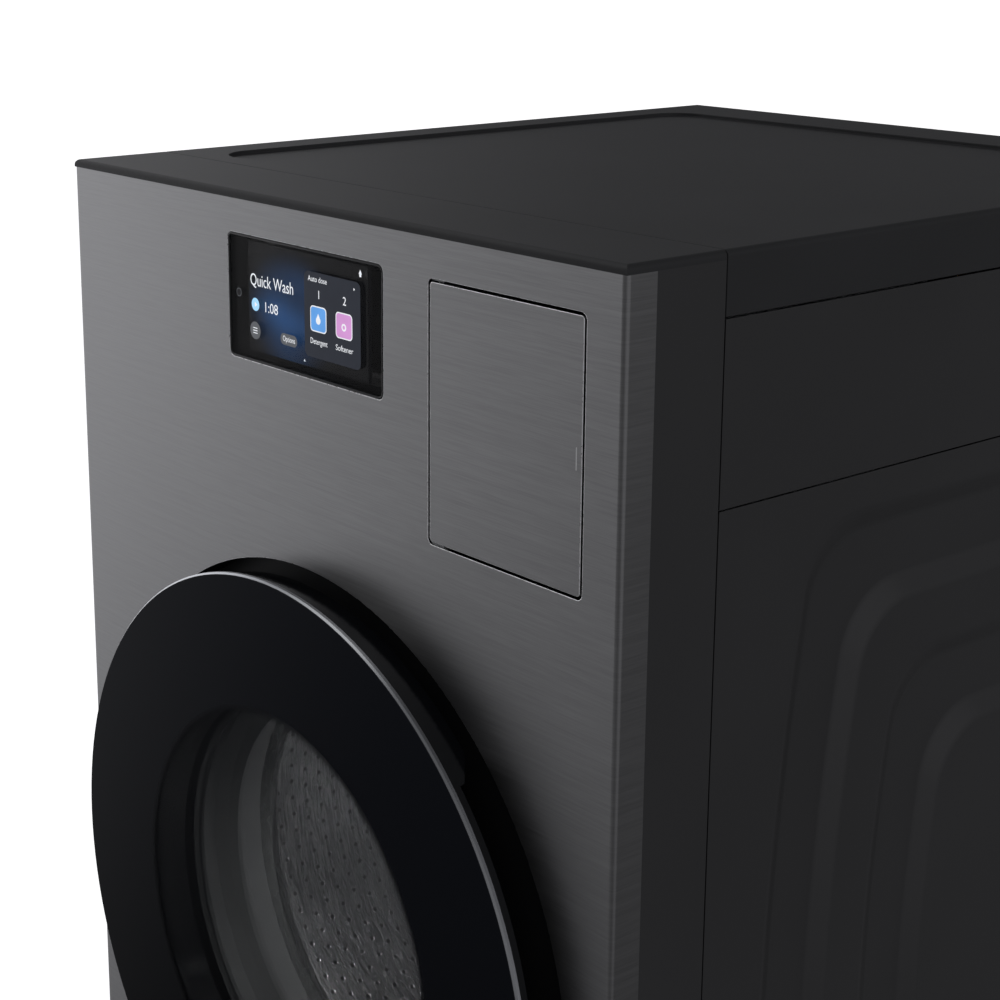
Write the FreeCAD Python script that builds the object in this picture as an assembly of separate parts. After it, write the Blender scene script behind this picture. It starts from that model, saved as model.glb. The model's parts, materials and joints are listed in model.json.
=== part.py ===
"""All-in-one front-loading washer and heat-pump dryer in one tall cabinet.

Millimetres. Origin: centre of the overall box, on the floor. +Z up, the front faces -Y,
+X is to the right of someone who faces the front.
"""
import FreeCAD, Part
import math
import os

V = FreeCAD.Vector

# ---------------------------------------------------------------- driving dimensions
WIDTH = 686.0
HEIGHT = 1110.0
CABINET_DEPTH = 785.0          # front panel face to rear panel face
DOOR_PROUD = 35.0              # door face stands this far in front of the front panel
REAR_PROUD = 55.0              # drain spigot stands this far behind the rear panel

SHEET = 1.2                    # cabinet sheet steel
SEAM = 1.2                     # open seam between neighbouring outer panels
BASE_Z = 28.0                  # underside of the base pan
CAP_HEIGHT = 6.5               # moulded strip over the front
PANEL_WRAP = 27.0              # front panel's return along the cabinet's side
FRAME_DEPTH = 90.0             # front panel face to the rear of the front frame
FRAME_BAR = 20.0               # width of the front frame's channel
FRAME_WALL = 2.0
TOP_SKIRT = 38.0               # top plate's skirt, below the front panel's top edge
UPPER_SIDE_HEIGHT = 132.0      # plain band of side panel under the skirt
PANEL_CORNER = 4.0             # radius down the front panel's vertical corners

KICK_HEIGHT = 120.0            # lower front cover
FLAP_WIDTH = 120.0
FLAP_HEIGHT = 86.0
FLAP_MARGIN = 33.0             # from the cabinet's left side to the flap
FLAP_GAP = 1.5
FLAP_SKIN = 3.0
FLAP_AXIS_UP = 5.0             # hinge axis, up from the flap's lower edge
FLAP_AXIS_BACK = 4.0           # and behind its face
FLAP_PIN_R = 1.6

TOP_SKIN = 6.0
RECESS_SIDE = 43.0             # shallow recess in the top plate: margins, depth and corner
RECESS_FRONT = 27.0
RECESS_REAR = 75.0
RECESS_DEPTH = 3.5
RECESS_CORNER = 35.0

GROOVE_TOP = 35.0              # pressed arch in the lower side panel, from its top edge
GROOVE_FRONT = 69.0            # and from its front edge
GROOVE_REAR = 69.0
GROOVE_BOTTOM = 80.0
GROOVE_STEP = 57.0             # from one pressed outline to the next one inside
GROOVE_STEP_UP = 61.0          # the same, measured up the panel
GROOVE_DROP = 7.0              # depth of the pressing
GROOVE_SLOPE = 14.0            # width of its sloping walls
GROOVE_BULGE = 42.0            # how far an outline's upright sides bow outward
GROOVE_CORNER = 58.0

DISPLAY_WIDTH = 200.0
DISPLAY_HEIGHT = 100.0
DISPLAY_X = -3.0
DISPLAY_DROP = 27.0            # from the front panel's top edge
DISPLAY_CORNER = 6.0
DISPLAY_BEZEL = 2.2
DISPLAY_INSET = 1.0            # glass face behind the front panel's face
LCD_WIDTH = 154.0
LCD_HEIGHT = 87.0
LCD_X = -2.0
LCD_DROP = 32.0
TRAY_DEPTH = 20.0

HATCH_WIDTH = 160.0            # dispenser door opening in the front panel
HATCH_HEIGHT = 193.0
HATCH_X = 228.0
HATCH_DROP = 29.0
HATCH_CORNER = 5.0
HATCH_GAP = 2.2
HATCH_AXIS_IN = 5.8            # hinge axis, in from the door's left edge
HATCH_AXIS_BACK = 6.5          # and behind its face
HATCH_PIN_R = 2.2
HATCH_LINER = 8.6
HOUSING_WALL = 2.5
HOUSING_MARGIN = 3.0           # housing's outside, past the opening's edges
HOUSING_BACK = 14.0            # housing's mouth behind the front panel's face
HOUSING_DEPTH = 330.0
SHELF_ROOM = 3.0               # from the drawer's top to the shelf over it
DRAWER_BACK = 53.0             # drawer fronts stand this far behind the front panel's face
DRAWER_LEFT = 38.0             # from the opening's left edge to the drawers
DRAWER_RIGHT = 8.0
DRAWER_LENGTH = 260.0
DRAWER_WALL = 2.5
DRAWER_HEIGHT = 92.0
FILTER_HEIGHT = 66.0
SHELF_GAP = 9.0

DOOR_DROP = 584.0              # door centre below the front panel's top edge
OPENING_R = 303.0
DOOR_R = 298.0
DOOR_BACK_R = 292.0
GLASS = 4.0
RIM_WALL = 3.0
RIM_BACK = 2.0                 # rear of the door's rim, in front of the front panel's face
RIM_CHAMFER = 2.0
WINDOW_R = 190.0
TRIM_R = 235.0
TRIM_BACK = 18.0
NOTCH_LIP = 16.0               # depth of the rim that is left at the finger notch
NOTCH_IN = 36.0                # how far the notch goes in from the rim
NOTCH_HALF = 205.0             # half height of the notch at its floor
NOTCH_SLANT = 20.0
NOTCH_CHAMFER = 6.5
HINGE_IN = 18.0                # hinge axis, in from the door's left edge
HINGE_FORWARD = 24.0           # and in front of the front panel's face
PIN_R = 3.5
RUNNING = 0.05                 # radial running clearance
HINGE_HALF = 40.0              # half height of the fixed knuckle
LEAF_HEIGHT = 16.0
BOWL_FRONT_R = 186.0
BOWL_REAR_R = 150.0
BOWL_BACK = 72.0
BOWL_WALL = 5.0
HOOK_X = 246.0
LOCK_HALF = 48.0               # half height of the door lock's case

BULKHEAD_BACK = 28.0           # floor of the door's recess, behind the front panel's face
RECESS_WALL = 3.0
RECESS_FLANGE = 12.0
MOUTH_R = 202.0
TUB_R = 271.0
TUB_WALL = 3.0
TUB_FRONT = 72.0
TUB_SPLIT = 330.0
TUB_BACK = 620.0
TUB_MOUTH_R = 196.0
DRUM_R = 250.0
DRUM_WALL = 1.5
DRUM_FRONT = 92.0
DRUM_BACK = 560.0
DRUM_MOUTH_R = 184.0
LIFTER_COUNT = 3
LIFTER_HEIGHT = 46.0
LIFTER_WIDTH = 56.0
LIFTER_END = 55.0
SHAFT_R = 15.0
BEARING_R = 31.0
BEARING_WIDTH = 16.0
STATOR_R = 105.0
ROTOR_R = 122.0
COUNTERWEIGHT = 26.0

FOOT_PAD_R = 24.0
FOOT_PAD = 12.0
FOOT_STEM_R = 6.0
FOOT_STEM = 50.0
FOOT_INSET_X = 43.0
FOOT_INSET_FRONT = 125.0
FOOT_INSET_REAR = 60.0
BOSS_R = 14.0
BOSS_HEIGHT = 24.0

SPRING_R = 14.0
SPRING_WIRE = 2.5
SPRING_LENGTH = 150.0
SPRING_TURNS = 14
SPRING_X = 302.0
DAMPER_X = 190.0
DAMPER_R = 16.0
DAMPER_ROD_R = 8.0

FAN_R = 84.0
FAN_WIDTH = 52.0
FAN_BLADES = 24
EVAPORATOR_DEPTH = 120.0
CONDENSER_DEPTH = 150.0
COIL_HEIGHT = 178.0
COIL_TUBE_R = 5.0
FIN = 0.5
FIN_PITCH = 8.0
COMPRESSOR_R = 52.0
COMPRESSOR_HEIGHT = 165.0
INLET_R = 13.2
INLET_LENGTH = 22.0
SPIGOT_R = 14.0
COVER_PROUD = 30.0

# ---------------------------------------------------------------- places worked out from them
SIDE = WIDTH / 2
FRONT = DOOR_PROUD - (DOOR_PROUD + CABINET_DEPTH + REAR_PROUD) / 2
REAR = FRONT + CABINET_DEPTH
PANEL_TOP = HEIGHT - CAP_HEIGHT
FRAME_BACK = FRONT + FRAME_DEPTH
SKIRT_Z = PANEL_TOP - TOP_SKIRT
LOWER_TOP = SKIRT_Z - UPPER_SIDE_HEIGHT
KICK_TOP = BASE_Z + KICK_HEIGHT
DOOR_Z = PANEL_TOP - DOOR_DROP
HINGE_X = HINGE_IN - DOOR_R
HINGE_Y = FRONT - HINGE_FORWARD
SHELF_Z = DOOR_Z + TUB_R + 22.0
HATCH_LEFT = HATCH_X - HATCH_WIDTH / 2
HATCH_RIGHT = HATCH_X + HATCH_WIDTH / 2
HATCH_TOP = PANEL_TOP - HATCH_DROP
HATCH_BOTTOM = HATCH_TOP - HATCH_HEIGHT
INLET_XS = (-255.0, -200.0)
INLET_Z = HEIGHT - 95.0
SPIGOT_X = -230.0
SPIGOT_Z = HEIGHT - 190.0
CORD_X = 230.0
CORD_Z = HEIGHT - 110.0
COVER_HALF = 210.0
TUB_MID = FRONT + TUB_SPLIT + 16
FAN_X = -SIDE + 36.0
FAN_Y = FRONT + 225.0
FAN_Z = SHELF_Z + FRAME_WALL + FAN_R + 12.0
PUMP_X = -SIDE + FLAP_MARGIN + FLAP_WIDTH / 2
PUMP_Z = BASE_Z + KICK_HEIGHT / 2
PLUG_R = 24.0


# ---------------------------------------------------------------- shape helpers
def box(x0, x1, y0, y1, z0, z1):
    return Part.makeBox(x1 - x0, y1 - y0, z1 - z0, V(x0, y0, z0))


def rod_x(r, x0, x1, y, z):
    return Part.makeCylinder(r, x1 - x0, V(x0, y, z), V(1, 0, 0))


def rod_y(r, y0, y1, x, z):
    return Part.makeCylinder(r, y1 - y0, V(x, y0, z), V(0, 1, 0))


def rod_z(r, z0, z1, x, y):
    return Part.makeCylinder(r, z1 - z0, V(x, y, z0), V(0, 0, 1))


def turned(profile, x, z):
    """A closed outline of (radius, y) points turned about the line along Y through x, z."""
    points = [V(x + r, y, z) for r, y in profile]
    face = Part.Face(Part.makePolygon(points + points[:1]))
    return face.revolve(V(x, 0, z), V(0, 1, 0), 360)


def prism_x(outline, x0, x1):
    """A closed outline of (y, z) points, from x0 to x1."""
    points = [V(x0, y, z) for y, z in outline]
    return Part.Face(Part.makePolygon(points + points[:1])).extrude(V(x1 - x0, 0, 0))


def prism_y(outline, y0, y1):
    points = [V(x, y0, z) for x, z in outline]
    return Part.Face(Part.makePolygon(points + points[:1])).extrude(V(0, y1 - y0, 0))


def prism_z(outline, z0, z1):
    points = [V(x, y, z0) for x, y in outline]
    return Part.Face(Part.makePolygon(points + points[:1])).extrude(V(0, 0, z1 - z0))


def edges_along(shape, axis):
    """The straight edges that run along "x", "y" or "z"."""
    found = []
    for edge in shape.Edges:
        if edge.Curve.TypeId != "Part::GeomLine":
            continue
        direction = edge.tangentAt(edge.FirstParameter)
        if abs(abs(getattr(direction, axis)) - 1) < 1e-6:
            found.append(edge)
    return found


def round_plate_y(x0, x1, y0, y1, z0, z1, r):
    """A plate square to Y with its four corners rounded."""
    plate = box(x0, x1, y0, y1, z0, z1)
    return plate.makeFillet(r, edges_along(plate, "y"))


def open_tray(x0, x1, y0, y1, z0, z1, wall):
    """A tray that is open at the top."""
    inside = box(x0 + wall, x1 - wall, y0 + wall, y1 - wall, z0 + wall, z1 + 1)
    return box(x0, x1, y0, y1, z0, z1).cut(inside)


def fused(shapes):
    return shapes[0].multiFuse(shapes[1:]).removeSplitter()


def save(name, *solids):
    shape = solids[0] if len(solids) == 1 else Part.makeCompound(list(solids))
    shape.exportStep("parts/%s.step" % name)


def mirrored(shape):
    return shape.mirror(V(0, 0, 0), V(1, 0, 0))


# ---------------------------------------------------------------- cabinet
def base_pan():
    pan = open_tray(-SIDE + SHEET, SIDE - SHEET, FRAME_BACK, REAR - SHEET, BASE_Z, BASE_Z + 45, FRAME_WALL)
    for x, y in foot_places():
        pan = pan.fuse(rod_z(BOSS_R, BASE_Z, BASE_Z + BOSS_HEIGHT, x, y))
        pan = pan.cut(rod_z(FOOT_STEM_R + RUNNING, BASE_Z - 1, BASE_Z + BOSS_HEIGHT + 1, x, y))
    return pan


def foot_places():
    places = []
    for y in (FRONT + FOOT_INSET_FRONT, REAR - FOOT_INSET_REAR):
        for x in (-SIDE + FOOT_INSET_X, SIDE - FOOT_INSET_X):
            places.append((x, y))
    return places


def foot(x, y):
    pad = rod_z(FOOT_PAD_R, 0, FOOT_PAD, x, y)
    pad = pad.makeFillet(2.0, pad.Edges[:1])
    nut = prism_z([(x + 11 * math.cos(math.radians(60 * i)), y + 11 * math.sin(math.radians(60 * i)))
                   for i in range(6)], FOOT_PAD, FOOT_PAD + 6)
    return fused([pad, nut, rod_z(FOOT_STEM_R, FOOT_PAD, FOOT_PAD + FOOT_STEM, x, y)])


def front_frame():
    outer = box(-SIDE, SIDE, FRONT + PANEL_WRAP, FRAME_BACK, BASE_Z, PANEL_TOP)
    opening = box(-SIDE + FRAME_BAR, SIDE - FRAME_BAR, FRONT, REAR, BASE_Z + FRAME_BAR, PANEL_TOP - FRAME_BAR)
    channel = box(-SIDE + FRAME_WALL, SIDE - FRAME_WALL, FRONT + PANEL_WRAP + FRAME_WALL, REAR,
                  BASE_Z + FRAME_WALL, PANEL_TOP - FRAME_WALL)
    keep = box(-SIDE + FRAME_BAR - FRAME_WALL, SIDE - FRAME_BAR + FRAME_WALL, FRONT, REAR,
               BASE_Z + FRAME_BAR - FRAME_WALL, PANEL_TOP - FRAME_BAR + FRAME_WALL)
    return outer.cut(opening).cut(channel.cut(keep))


def wrapped_sheet(z0, z1):
    """Front sheet with rounded vertical corners and a return along each side."""
    outer = box(-SIDE, SIDE, FRONT, FRONT + PANEL_WRAP, z0, z1)
    front_corners = [e for e in edges_along(outer, "z") if abs(e.Vertexes[0].Y - FRONT) < 1e-6]
    outer = outer.makeFillet(PANEL_CORNER, front_corners)
    inner = box(-SIDE + SHEET, SIDE - SHEET, FRONT + SHEET, FRONT + PANEL_WRAP + 1, z0 - 1, z1 + 1)
    inner_corners = [e for e in edges_along(inner, "z") if abs(e.Vertexes[0].Y - FRONT - SHEET) < 1e-6]
    return outer.cut(inner.makeFillet(PANEL_CORNER - SHEET, inner_corners))


def front_panel():
    panel = wrapped_sheet(KICK_TOP + SEAM, PANEL_TOP)
    panel = panel.cut(rod_y(OPENING_R, FRONT - 1, FRONT + 10, 0, DOOR_Z))
    panel = panel.cut(display_block(0, FRONT - 1, FRONT + 10))
    return panel.cut(hatch_block(0, FRONT - 1, FRONT + 10))


def display_block(inset, y0, y1):
    """The display's rounded outline, drawn in by inset, from y0 to y1."""
    return round_plate_y(DISPLAY_X - DISPLAY_WIDTH / 2 + inset, DISPLAY_X + DISPLAY_WIDTH / 2 - inset, y0, y1,
                         PANEL_TOP - DISPLAY_DROP - DISPLAY_HEIGHT + inset, PANEL_TOP - DISPLAY_DROP - inset,
                         max(DISPLAY_CORNER - inset, 1.0))


def hatch_block(inset, y0, y1):
    return round_plate_y(HATCH_LEFT + inset, HATCH_RIGHT - inset, y0, y1,
                         HATCH_BOTTOM + inset, HATCH_TOP - inset, max(HATCH_CORNER - inset, 1.0))


def flap_block(inset, y0, y1):
    x0 = -SIDE + FLAP_MARGIN
    z0 = BASE_Z + (KICK_HEIGHT - FLAP_HEIGHT) / 2
    return round_plate_y(x0 + inset, x0 + FLAP_WIDTH - inset, y0, y1, z0 + inset, z0 + FLAP_HEIGHT - inset, 3.0)


def front_top_cap():
    cap = box(-SIDE, SIDE, FRONT, FRAME_BACK, PANEL_TOP, HEIGHT)
    rounded = []
    for edge in cap.Edges:
        if all(abs(v.Z - HEIGHT) < 1e-6 for v in edge.Vertexes):
            if not all(abs(v.Y - FRAME_BACK) < 1e-6 for v in edge.Vertexes):
                rounded.append(edge)
    return cap.makeFillet(min(4.5, CAP_HEIGHT - 1), rounded)


def top_plate():
    plate = box(-SIDE, SIDE, FRAME_BACK + SEAM, REAR, SKIRT_Z, HEIGHT)
    rounded = []
    for edge in plate.Edges:
        if all(abs(v.Z - HEIGHT) < 1e-6 for v in edge.Vertexes):
            if not all(abs(v.Y - FRAME_BACK - SEAM) < 1e-6 for v in edge.Vertexes):
                rounded.append(edge)
    plate = plate.makeFillet(min(4.5, TOP_SKIN - 1), rounded)
    plate = plate.cut(box(-SIDE + FRAME_WALL, SIDE - FRAME_WALL, FRAME_BACK, REAR - FRAME_WALL,
                          SKIRT_Z - 1, HEIGHT - TOP_SKIN))
    recess = box(-SIDE + RECESS_SIDE, SIDE - RECESS_SIDE, FRAME_BACK + RECESS_FRONT, REAR - RECESS_REAR,
                 HEIGHT - RECESS_DEPTH, HEIGHT + 1)
    return plate.cut(recess.makeFillet(RECESS_CORNER, edges_along(recess, "z")))


def arch_outline(step, x):
    """Wire of the pressed arch, in from its place by a step: bowed uprights and round corners."""
    up = step * GROOVE_STEP_UP / GROOVE_STEP
    y0, y1 = FRAME_BACK + SEAM + GROOVE_FRONT + step, REAR - GROOVE_REAR - step
    z0, z1 = BASE_Z + GROOVE_BOTTOM + up, LOWER_TOP - GROOVE_TOP - up
    bulge = GROOVE_BULGE * (z1 - z0) / (LOWER_TOP - BASE_Z)
    middle = (z0 + z1) / 2
    foot_front, head_front = V(x, y0 + bulge, z0), V(x, y0 + bulge, z1)
    foot_rear, head_rear = V(x, y1 - bulge, z0), V(x, y1 - bulge, z1)
    wire = Part.Wire([Part.Arc(foot_front, V(x, y0, middle), head_front).toShape(),
                      Part.LineSegment(head_front, head_rear).toShape(),
                      Part.Arc(head_rear, V(x, y1, middle), foot_rear).toShape(),
                      Part.LineSegment(foot_rear, foot_front).toShape()])
    prism = Part.Face(wire).extrude(V(SHEET, 0, 0))
    prism = prism.makeFillet(GROOVE_CORNER, edges_along(prism, "x"))
    return prism.slice(V(1, 0, 0), x + SHEET / 2)[0].translated(V(-SHEET / 2, 0, 0))


def arch_plug(outside, inside):
    """Solid from one arch in the panel's face to another at the floor of the pressing."""
    return Part.makeLoft([arch_outline(outside, SIDE), arch_outline(inside, SIDE - GROOVE_DROP)], True, True)


def lower_side_panel():
    """Right-hand panel: a sheet with two rings pressed inward, one inside the other."""
    half = GROOVE_SLOPE / 2
    rings = []
    for middle in (0, 2 * GROOVE_STEP):
        island = middle + GROOVE_STEP
        rings.append(arch_plug(middle - half, middle + half).cut(arch_plug(island + half, island - half)))
    rings = Part.makeCompound(rings)
    y0, y1 = FRAME_BACK + SEAM, REAR
    face = box(SIDE - 2 * GROOVE_DROP, SIDE, y0, y1, BASE_Z, LOWER_TOP).cut(rings)
    behind = box(SIDE - 3 * GROOVE_DROP, SIDE - SHEET, y0 - 1, y1 + 1, BASE_Z - 1, LOWER_TOP + 1)
    return face.cut(behind.cut(rings.translated(V(-SHEET, 0, 0))))


def upper_side_panel():
    return box(SIDE - SHEET, SIDE, FRAME_BACK + SEAM, REAR, LOWER_TOP + SEAM, SKIRT_Z - SEAM)


def rear_panel():
    panel = box(-SIDE + SHEET, SIDE - SHEET, REAR - SHEET, REAR, BASE_Z, SKIRT_Z)
    for x in INLET_XS:
        panel = panel.cut(rod_y(INLET_R + 1, REAR - 10, REAR + 10, x, INLET_Z))
    panel = panel.cut(rod_y(SPIGOT_R + 1, REAR - 10, REAR + 10, SPIGOT_X, SPIGOT_Z))
    panel = panel.cut(rod_y(17, REAR - 10, REAR + 10, CORD_X, CORD_Z))
    return panel.cut(rod_y(COVER_HALF - 35, REAR - 10, REAR + 10, 0, DOOR_Z))


def rear_cover():
    """Bulged service cover over the motor."""
    reach = COVER_HALF
    shell = round_plate_y(-reach, reach, REAR, REAR + COVER_PROUD, DOOR_Z - reach, DOOR_Z + reach, 60.0)
    shell = shell.makeChamfer(14.0, [e for e in shell.Edges if all(abs(v.Y - REAR - COVER_PROUD) < 1e-6
                                                                   for v in e.Vertexes)])
    inner = round_plate_y(-reach + 2, reach - 2, REAR - 1, REAR + COVER_PROUD - 2,
                          DOOR_Z - reach + 2, DOOR_Z + reach - 2, 58.0)
    inner = inner.makeChamfer(14.0, [e for e in inner.Edges if all(abs(v.Y - REAR - COVER_PROUD + 2) < 1e-6
                                                                   for v in e.Vertexes)])
    edge = reach + 16
    flange = round_plate_y(-edge, edge, REAR, REAR + SHEET, DOOR_Z - edge, DOOR_Z + edge, 70.0)
    return flange.fuse(shell).cut(inner)


def rear_screws():
    reach = COVER_HALF + 8
    heads = []
    for dx in (-1, -0.35, 0.35, 1):
        for dz in (-1, 1):
            at = 0.78 if abs(dx) == 1 else 1.0
            heads.append(rod_y(5, REAR + SHEET, REAR + SHEET + 3, dx * reach * at if at < 1 else dx * reach,
                               DOOR_Z + dz * reach))
    return heads


def flap_corner():
    """x and z of the lower left corner of the flap's opening."""
    return -SIDE + FLAP_MARGIN, BASE_Z + (KICK_HEIGHT - FLAP_HEIGHT) / 2


def flap_axis():
    return FRONT + FLAP_AXIS_BACK, flap_corner()[1] + FLAP_GAP + FLAP_AXIS_UP


def kick_panel():
    """Lower cover with the flap's opening and a clip behind each side of it for the flap's pivots."""
    panel = wrapped_sheet(BASE_Z, KICK_TOP)
    panel = panel.cut(flap_block(0, FRONT - 1, FRONT + 10))
    x0 = flap_corner()[0]
    y, z = flap_axis()
    for left, right in ((x0 - 9, x0 - 0.5), (x0 + FLAP_WIDTH + 0.5, x0 + FLAP_WIDTH + 9)):
        clip = box(left, right, FRONT + SHEET, y + FLAP_PIN_R + 2.5, z - 4.5, z + 4.5)
        panel = panel.fuse(clip).cut(rod_x(FLAP_PIN_R + RUNNING, left - 1, right + 1, y, z))
    return panel


def service_flap():
    """Skin with a stiffener and a pivot rod that stands out at both ends."""
    x0, z0 = flap_corner()
    y, z = flap_axis()
    skin = flap_block(FLAP_GAP, FRONT, FRONT + FLAP_SKIN)
    stiffener = box(x0 + 12, x0 + FLAP_WIDTH - 12, FRONT + FLAP_SKIN, FRONT + FLAP_SKIN + 3,
                    z0 + 12, z0 + FLAP_HEIGHT - 12)
    pivot = rod_x(FLAP_PIN_R, x0 - 7.5, x0 + FLAP_WIDTH + 7.5, y, z)
    return fused([skin, stiffener, pivot])


# ---------------------------------------------------------------- display and dispenser
def display_bezel():
    """Tray that holds the screen; its rim is flush with the front panel."""
    tray = display_block(0.2, FRONT, FRONT + TRAY_DEPTH)
    return tray.cut(display_block(DISPLAY_BEZEL, FRONT - 1, FRONT + TRAY_DEPTH - 2))


def display_glass():
    return display_block(DISPLAY_BEZEL, FRONT + DISPLAY_INSET, FRONT + DISPLAY_INSET + 2.5)


def lcd_box(y0, y1):
    return box(LCD_X - LCD_WIDTH / 2, LCD_X + LCD_WIDTH / 2, y0, y1,
               PANEL_TOP - LCD_DROP - LCD_HEIGHT, PANEL_TOP - LCD_DROP)


def lcd_panel():
    return lcd_box(FRONT + DISPLAY_INSET + 2.5, FRONT + DISPLAY_INSET + 6)


def control_board():
    y0 = FRONT + DISPLAY_INSET + 9
    z0 = PANEL_TOP - LCD_DROP - LCD_HEIGHT + 6
    board = box(LCD_X - 70, LCD_X + 70, y0, y0 + 1.6, z0, z0 + 72)
    chips = [box(LCD_X + dx, LCD_X + dx + 18, y0 + 1.6, y0 + 4, z0 + dz, z0 + dz + 18)
             for dx in (-55, -10, 35) for dz in (10, 42)]
    return fused([board] + chips)


def dispenser_door_skin():
    return hatch_block(HATCH_GAP, FRONT, FRONT + SHEET)


def hatch_axis():
    return HATCH_LEFT + HATCH_GAP + HATCH_AXIS_IN, FRONT + HATCH_AXIS_BACK


def dispenser_door_liner():
    """Tray on the back of the skin, with a barrel for the hinge pin down its left side."""
    inset = HATCH_GAP + 3
    liner = hatch_block(inset, FRONT + SHEET, FRONT + SHEET + HATCH_LINER)
    liner = liner.cut(hatch_block(HATCH_GAP + 6, FRONT + SHEET + 2.5, FRONT + 20))
    x, y = hatch_axis()
    z0, z1 = HATCH_BOTTOM + inset, HATCH_TOP - inset
    barrel = rod_z(HATCH_PIN_R + 2, z0 + HATCH_CORNER, z1 - HATCH_CORNER, x, y)
    return liner.fuse(barrel).cut(rod_z(HATCH_PIN_R + RUNNING, z0 - 1, z1 + 1, x, y))


def hatch_ears():
    """Lugs of the housing above and below the dispenser door that hold its hinge pin."""
    x, y = hatch_axis()
    overlap = 1.5
    front, back = y - HATCH_PIN_R - 1.8, FRONT + HOUSING_BACK
    lugs = [box(x - 6, x + 7, front, back, HATCH_TOP - overlap, HATCH_TOP + HOUSING_MARGIN),
            box(x - 6, x + 7, front, back, HATCH_BOTTOM - HOUSING_MARGIN, HATCH_BOTTOM + overlap)]
    return [lug.cut(rod_z(HATCH_PIN_R, HATCH_BOTTOM - 20, HATCH_TOP + 20, x, y)) for lug in lugs]


def dispenser_hinge_pin():
    x, y = hatch_axis()
    return rod_z(HATCH_PIN_R, HATCH_BOTTOM - HOUSING_MARGIN, HATCH_TOP + HOUSING_MARGIN, x, y)


def dispenser_housing():
    y0 = FRONT + HOUSING_BACK
    wall = HOUSING_WALL
    left, right = HATCH_LEFT - HOUSING_MARGIN, HATCH_RIGHT + HOUSING_MARGIN
    low, high = HATCH_BOTTOM - HOUSING_MARGIN, HATCH_TOP + HOUSING_MARGIN
    outer = box(left, right, y0, y0 + HOUSING_DEPTH, low, high)
    inner = box(left + wall, right - wall, y0 - 1, y0 + HOUSING_DEPTH - wall, low + wall, high - wall)
    divider_z = drawer_bottom() + DRAWER_HEIGHT + SHELF_ROOM
    divider = box(left + wall, right - wall, FRONT + DRAWER_BACK, y0 + HOUSING_DEPTH - wall,
                  divider_z, divider_z + wall)
    return fused([outer.cut(inner), divider] + hatch_ears())


def drawer_bottom():
    return HATCH_BOTTOM - HOUSING_MARGIN + HOUSING_WALL + 1


def drawer_box(z0, height):
    return box(HATCH_LEFT + DRAWER_LEFT, HATCH_RIGHT - DRAWER_RIGHT, FRONT + DRAWER_BACK,
               FRONT + DRAWER_BACK + DRAWER_LENGTH, z0, z0 + height)


def detergent_drawer():
    """Two open troughs, detergent on the left and softener on the right, with a grip in front."""
    z0 = drawer_bottom()
    wall = DRAWER_WALL
    body = drawer_box(z0, DRAWER_HEIGHT)
    x0, x1 = HATCH_LEFT + DRAWER_LEFT, HATCH_RIGHT - DRAWER_RIGHT
    split = x0 + (x1 - x0) * 0.62
    y0, y1 = FRONT + DRAWER_BACK, FRONT + DRAWER_BACK + DRAWER_LENGTH
    for left, right in ((x0, split), (split - wall, x1)):
        body = body.cut(box(left + wall, right - wall, y0 + 8, y1 - wall, z0 + wall, z0 + DRAWER_HEIGHT + 1))
    grip = box(x0 + 25, x1 - 25, y0 - 14, y0, z0 + DRAWER_HEIGHT - 22, z0 + DRAWER_HEIGHT - 18)
    return body.fuse(grip)


def lint_filter():
    """Box frame with open side windows, pulled out by its grip."""
    z0 = drawer_bottom() + DRAWER_HEIGHT + SHELF_ROOM + HOUSING_WALL + 1
    x0, x1 = HATCH_LEFT + DRAWER_LEFT, HATCH_RIGHT - DRAWER_RIGHT
    y0, y1 = FRONT + DRAWER_BACK, FRONT + DRAWER_BACK + DRAWER_LENGTH
    body = drawer_box(z0, FILTER_HEIGHT)
    body = body.cut(box(x0 + 2, x1 - 2, y0 + 8, y1 - 2, z0 + 2, z0 + FILTER_HEIGHT + 1))
    for index in range(4):
        ya = y0 + 22 + index * 58
        body = body.cut(box(x0 - 1, x1 + 1, ya, ya + 46, z0 + 12, z0 + FILTER_HEIGHT - 12))
    grip = box(x0 + 25, x1 - 25, y0 - 14, y0, z0 + FILTER_HEIGHT / 2 - 2, z0 + FILTER_HEIGHT / 2 + 2)
    return body.fuse(grip)


# ---------------------------------------------------------------- door recess, gasket, lock, hinge
def recess_wall():
    """Flanged wall round the recess that the door closes into."""
    f, wall = FRONT, OPENING_R + RECESS_WALL
    flange = wall + RECESS_FLANGE
    return turned([(OPENING_R, f + SHEET), (flange, f + SHEET), (flange, f + SHEET + 2), (wall, f + SHEET + 2),
                   (wall, f + BULKHEAD_BACK), (OPENING_R, f + BULKHEAD_BACK)], 0, DOOR_Z)


def bulkhead():
    """Floor of the recess, with the collar that the gasket grips and a slot for the latch hook."""
    back, collar = FRONT + BULKHEAD_BACK, MOUTH_R + RECESS_WALL
    ring = turned([(OPENING_R, back - 2), (OPENING_R, back), (collar, back), (collar, back + 12),
                   (MOUTH_R, back + 12), (MOUTH_R, back - 10), (collar, back - 10), (collar, back - 2)], 0, DOOR_Z)
    slot = box(HOOK_X - 10, HOOK_X + 24, back - 10, back + 5, DOOR_Z - 16, DOOR_Z + 16)
    return ring.cut(slot)


def gasket():
    f, r = FRONT, MOUTH_R - 0.2
    return turned([(r, f + 19), (r, f + 50), (TUB_MOUTH_R - 0.5, f + 56), (TUB_MOUTH_R - 0.5, f + 78),
                   (TUB_MOUTH_R - 6, f + 78), (TUB_MOUTH_R - 6, f + 60), (184, f + 51), (174, f + 47),
                   (174, f + 43), (186, f + 41), (r - 5, f + 34), (r - 5, f + 19)], 0, DOOR_Z)


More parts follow.
